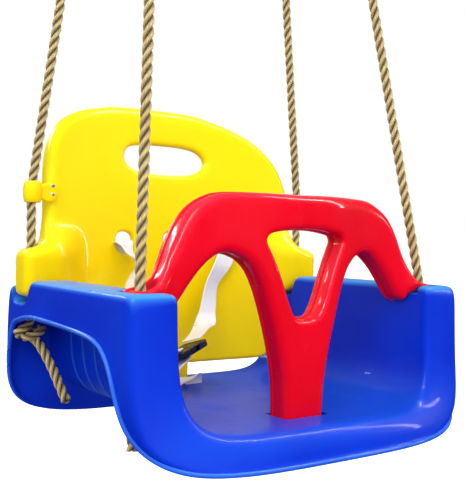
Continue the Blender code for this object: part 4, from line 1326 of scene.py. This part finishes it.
def strap(name, stations, body, nodes, stitches=()):
    """Flat webbing through stations (point, direction across), with rounded selvedges. stitches are
    (start, end) distances along it where box stitching shows."""
    route = spline([p for p, _ in stations], 0.0022)
    marks = [0.0]
    for (a, _), (b, _) in zip(stations, stations[1:]):
        marks.append(marks[-1] + (b - a).length)
    turned = [Vector(w).normalized() for _, w in stations]
    run = [0.0]
    for a, b in zip(route, route[1:]):
        run.append(run[-1] + (b - a).length)
    face = [(-0.49, 0.42), (-0.455, 0.60), (-0.40, 0.5), (-0.25, 0.5), (0.0, 0.5)]
    face += [(-x, y) for x, y in reversed(face[:-1])]
    profile = [(-0.5, 0.0)] + face + [(0.5, 0.0)] + [(-x, -y) for x, y in face]
    verts = []
    uvs = []
    threads = []
    for i, spot in enumerate(route):
        along = (route[min(i + 1, len(route) - 1)] - route[max(i - 1, 0)]).normalized()
        share = run[i] / run[-1] * marks[-1]
        k = max(j for j in range(len(marks)) if marks[j] <= share + 1e-9)
        k = min(k, len(marks) - 2)
        t = smoothstep((share - marks[k]) / (marks[k + 1] - marks[k]))
        wide = turned[k].lerp(turned[k + 1], t)
        wide = (wide - along * wide.dot(along)).normalized()
        up = along.cross(wide)
        for x, y in profile:
            verts.append(spot + wide * x * WEB + up * y * 0.0014)
            uvs.append((x * WEB, run[i]))
            by_edge = abs(abs(x) - 0.40) < 0.06
            sewn = any(
                a < run[i] < b and (by_edge or min(run[i] - a, b - run[i]) < 0.002)
                for a, b in stitches
            )
            threads.append(0.75 if sewn and i % 2 else 0.0)
    size = len(profile)
    faces = []
    for i in range(len(route) - 1):
        for k in range(size):
            a = i * size + k
            b = i * size + (k + 1) % size
            faces.append((a, b, b + size, a + size))
    faces.append(tuple(range(size))[::-1])
    faces.append(tuple((len(route) - 1) * size + k for k in range(size)))
    obj = piece(name, verts, faces, WEBBING, 50.0)
    layer = obj.data.uv_layers.new(name="UVMap")
    for loop in obj.data.loops:
        layer.data[loop.index].uv = uvs[loop.vertex_index]
    thread = obj.data.attributes.new("thread", "FLOAT", "POINT")
    thread.data.foreach_set("value", threads)
    place(obj, body, nodes)
    return obj, run[-1]


def buckle_body():
    """The half with the mouth: shaped shell, side windows for the prongs and a strap bar."""
    shell = box("buckle_body_shell", (-0.0160, 0.0, -0.0045), (0.0160, 0.0440, 0.0045), BLACK, 0.0022, 4)
    cutters = [
        box("mouth", (-0.0130, 0.0120, -0.0030), (0.0130, 0.0600, 0.0030), BLACK),
        box("strap_slot_near", (-0.0135, 0.0040, -0.0120), (0.0135, 0.0080, 0.0120), BLACK, 0.0008),
        box("window_left", (-0.0200, 0.0225, -0.0030), (-0.0120, 0.0360, 0.0030), BLACK, 0.0008),
        box("window_right", (0.0120, 0.0225, -0.0030), (0.0200, 0.0360, 0.0030), BLACK, 0.0008),
    ]
    for number in range(5):
        y = 0.0200 + 0.0030 * number
        cutters.append(box(f"grip_{number}", (-0.0060, y, 0.0041), (0.0060, y + 0.0012, 0.0080), BLACK))
    cut(shell, cutters)
    shade(shell, 32.0)
    shell.data.transform(BUCKLE_FRAME)
    place(shell, "seat", ["buckle_body"])


def buckle_tongue():
    """The half with the two sprung prongs and its own strap bar."""
    head = box("tongue_head", (-0.0155, 0.0445, -0.0044), (0.0155, 0.0660, 0.0044), BLACK, 0.0022, 4)
    cutters = [box("strap_slot_far", (-0.0135, 0.0585, -0.0120), (0.0135, 0.0620, 0.0120), BLACK, 0.0008)]
    for number in range(3):
        y = 0.0480 + 0.0028 * number
        corners = (-0.0090, y, 0.0040), (0.0090, y + 0.0011, 0.0080)
        cutters.append(box(f"tongue_grip_{number}", *corners, BLACK))
    cut(head, cutters)
    parts = [head, box("tongue_tab", (-0.0035, 0.0180, -0.0012), (0.0035, 0.0470, 0.0012), BLACK, 0.0006)]
    for side in (-1, 1):
        inner, outer = sorted((side * 0.0085, side * 0.0120))
        corners = (inner, 0.0210, -0.0028), (outer, 0.0475, 0.0028)
        parts.append(box(f"prong_{side}", *corners, BLACK, 0.0009))
        inner, outer = sorted((side * 0.0095, side * 0.0126))
        corners = (inner, 0.0230, -0.0027), (outer, 0.0350, 0.0027)
        parts.append(box(f"prong_catch_{side}", *corners, BLACK, 0.0012))
    for part in parts:
        shade(part, 32.0)
    obj = join("buckle_tongue_prongs", parts)
    obj.data.transform(BUCKLE_FRAME)
    place(obj, "tongue", ["buckle_tongue"])


def harness():
    buckle_body()
    buckle_tongue()
    back = back_y(0.070, 0.170)
    wide = Vector((1.0, 0.0, 0.0))
    across = -BUCKLE_FRAME.col[0].to_3d()
    start = BUCKLE_FRAME @ Vector((0.0, 0.0095, 0.0077))
    bar = BUCKLE_FRAME @ Vector((0.0, 0.0000, 0.0077))
    right, run_right = strap("shoulder_strap_right_webbing", [
        (Vector((0.070, back + 0.0300, 0.1560)), wide), (Vector((0.070, back + 0.0100, 0.1660)), wide),
        (Vector((0.0745, back - 0.0050, 0.1690)), wide),
        (Vector((0.0735, 0.2420, 0.1555)), Vector((0.97, 0.10, 0.15))),
        (Vector((0.0470, 0.2310, 0.1245)), Vector((0.90, 0.43, 0.0))),
        (Vector((0.0320, 0.2180, 0.0951)), Vector((0.93, 0.25, 0.0))),
        (Vector((0.0205, 0.2050, 0.0775)), Vector((0.88, 0.10, 0.1))),
        (bar + Vector((0.0095, 0.0070, 0.0050)), across), (start, across),
    ], "seat", ["shoulder_strap_right"], stitches=((0.166, 0.176),))
    start = BUCKLE_FRAME @ Vector((0.0, 0.0570, 0.0072))
    bar = BUCKLE_FRAME @ Vector((0.0, 0.0680, 0.0072))
    left, run_left = strap("shoulder_strap_left_webbing", [
        (Vector((-0.070, back + 0.0300, 0.1560)), wide), (Vector((-0.0720, back + 0.0100, 0.1690)), wide),
        (Vector((-0.0760, back - 0.0050, 0.1740)), Vector((0.95, 0.3, 0.1))),
        (Vector((-0.0755, 0.2360, 0.1647)), Vector((0.66, 0.75, 0.1))),
        (Vector((-0.0716, 0.2240, 0.1504)), Vector((0.50, 0.86, 0.1))),
        (Vector((-0.0790, 0.2120, 0.1353)), Vector((0.10, 1.0, 0.1))),
        (Vector((-0.0880, 0.2000, 0.1217)), Vector((0.0, 1.0, 0.1))),
        (Vector((-0.1050, 0.1660, 0.0880)), Vector((0.4, -0.9, 0.1))),
        (Vector((-0.1110, 0.1250, 0.0660)), Vector((0.7, -0.8, 0.1))),
        (bar + Vector((-0.0060, -0.0040, 0.0020)), across), (start, across),
    ], None, ["shoulder_strap_left"])
    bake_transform(left)
    under = BUCKLE_FRAME @ Vector((0.0, 0.0410, -0.0066))
    crotch, run_crotch = strap("crotch_strap_webbing", [
        (Vector((0.0, 0.2005, -0.0280)), wide), (Vector((0.0, 0.2005, 0.0020)), wide),
        (Vector((-0.0050, 0.1990, 0.0085)), Vector((0.80, -0.5, 0.2))),
        (Vector((-0.0240, 0.1950, 0.0055)), Vector((0.45, -0.9, 0.1))),
        (Vector((-0.0500, 0.1840, 0.0020)), Vector((0.3, -0.95, 0.0))),
        (Vector((-0.0780, 0.1600, 0.0022)), Vector((0.5, -0.85, 0.0))),
        (Vector((-0.0960, 0.1280, 0.0090)), Vector((0.6, -0.8, 0.0))),
        (Vector((-0.0900, 0.1190, 0.0270)), across), (under, across),
    ], "seat", ["crotch_strap"])


# Studio -------------------------------------------------------------------------------------

FLOOR_Z = -0.42


def area_light(name, spot, aim, size, power, colour=(1.0, 1.0, 1.0)):
    data = bpy.data.lights.new(name, "AREA")
    data.shape = "RECTANGLE"
    data.size, data.size_y = size
    data.energy = power
    data.color = colour
    obj = bpy.data.objects.new(name, data)
    bpy.context.scene.collection.objects.link(obj)
    obj.location = Vector(spot) - HANG
    obj.rotation_euler = (Vector(aim) - Vector(spot)).to_track_quat("-Z", "Y").to_euler()
    return obj


def sky():
    """White to the camera, pale and even to matt surfaces, and dark with one bright side to gloss."""
    world = bpy.data.worlds.new("studio")
    world.use_nodes = True
    bpy.context.scene.world = world
    tree = world.node_tree
    spot = tree.nodes.new("ShaderNodeTexCoord").outputs["Generated"]
    path = tree.nodes.new("ShaderNodeLightPath")

    def toward(direction, low, high, out_low, out_high):
        along = tree.nodes.new("ShaderNodeVectorMath")
        along.operation = "DOT_PRODUCT"
        along.inputs[1].default_value = direction
        tree.links.new(spot, along.inputs[0])
        ramp = tree.nodes.new("ShaderNodeMapRange")
        ramp.interpolation_type = "SMOOTHSTEP"
        limits = {"From Min": low, "From Max": high, "To Min": out_low, "To Max": out_high}
        for key, value in limits.items():
            ramp.inputs[key].default_value = value
        tree.links.new(along.outputs["Value"], ramp.inputs["Value"])
        return ramp.outputs["Result"]

    def glow(strength):
        node = tree.nodes.new("ShaderNodeBackground")
        node.inputs["Color"].default_value = (1.0, 1.0, 1.0, 1.0)
        if isinstance(strength, float):
            node.inputs["Strength"].default_value = strength
        else:
            tree.links.new(strength, node.inputs["Strength"])
        return node.outputs[0]

    def either(factor, a, b):
        node = tree.nodes.new("ShaderNodeMixShader")
        for slot, source in enumerate((factor, a, b)):
            tree.links.new(source, node.inputs[slot])
        return node.outputs[0]

    matt = glow(toward((0.0, 0.0, 1.0), -0.9, 0.7, SKY_MATT[0], SKY_MATT[1]))
    gloss = glow(toward((0.57, 0.82, 0.06), 0.55, 0.98, SKY_GLOSS[0], SKY_GLOSS[1]))
    lit = either(path.outputs["Is Glossy Ray"], matt, gloss)
    shown = either(path.outputs["Is Camera Ray"], lit, glow(1.0))
    tree.links.new(shown, tree.nodes["World Output"].inputs["Surface"])


SKY_MATT = (0.42, 1.05)
SKY_GLOSS = (0.012, 0.30)
# name, place, size, power, seen by gloss only
LIGHTS = (
    ("key", (-1.20, -0.90, 1.25), (1.1, 1.1), 13.0, False),
    ("fill", (0.10, -1.60, 0.45), (1.0, 1.0), 8.0, False),
    ("top", (0.1, 0.2, 1.7), (1.2, 1.0), 7.0, False),
    ("strip_left", (-1.00, -0.45, 1.50), (0.06, 1.30), 26.0, True),
    ("strip_left_far", (-1.25, -0.75, 1.35), (0.03, 1.20), 12.0, True),
    ("strip_top", (0.95, -0.35, 1.45), (0.08, 0.90), 16.0, True),
    ("strip_right", (1.30, -0.70, 0.75), (0.07, 0.80), 6.0, True),
    ("strip_rear", (-0.60, 1.40, 0.90), (0.80, 0.10), 6.0, True),
)


def studio():
    view = bpy.context.scene.view_settings
    view.view_transform = "Standard"
    view.look = "None"
    sky()
    for name, spot, size, power, gloss in LIGHTS:
        lamp = area_light(name, spot, (0.0, 0.10, 0.10), size, power)
        lamp.visible_glossy = gloss
        lamp.visible_diffuse = not gloss


def floor():
    work = bmesh.new()
    bmesh.ops.create_grid(work, x_segments=8, y_segments=8, size=14.0)
    look = Look("pale_floor", Roughness=0.9, Emission_Color=(1.0, 1.0, 1.0, 1.0), Emission_Strength=0.62)
    look.shader.inputs["Base Color"].default_value = (0.80, 0.80, 0.80, 1.0)
    obj = from_bmesh("floor", work, look.made)
    obj.location = Vector((0.0, 0.0, FLOOR_Z)) - HANG
    obj.visible_diffuse = False
    obj.visible_glossy = False


camera()
ropes()
seat_shell()
backrest()
guard_bar()
for hand_name, hand_side in SIDES:
    rope_guide(hand_name, hand_side)
harness()
studio()
floor()
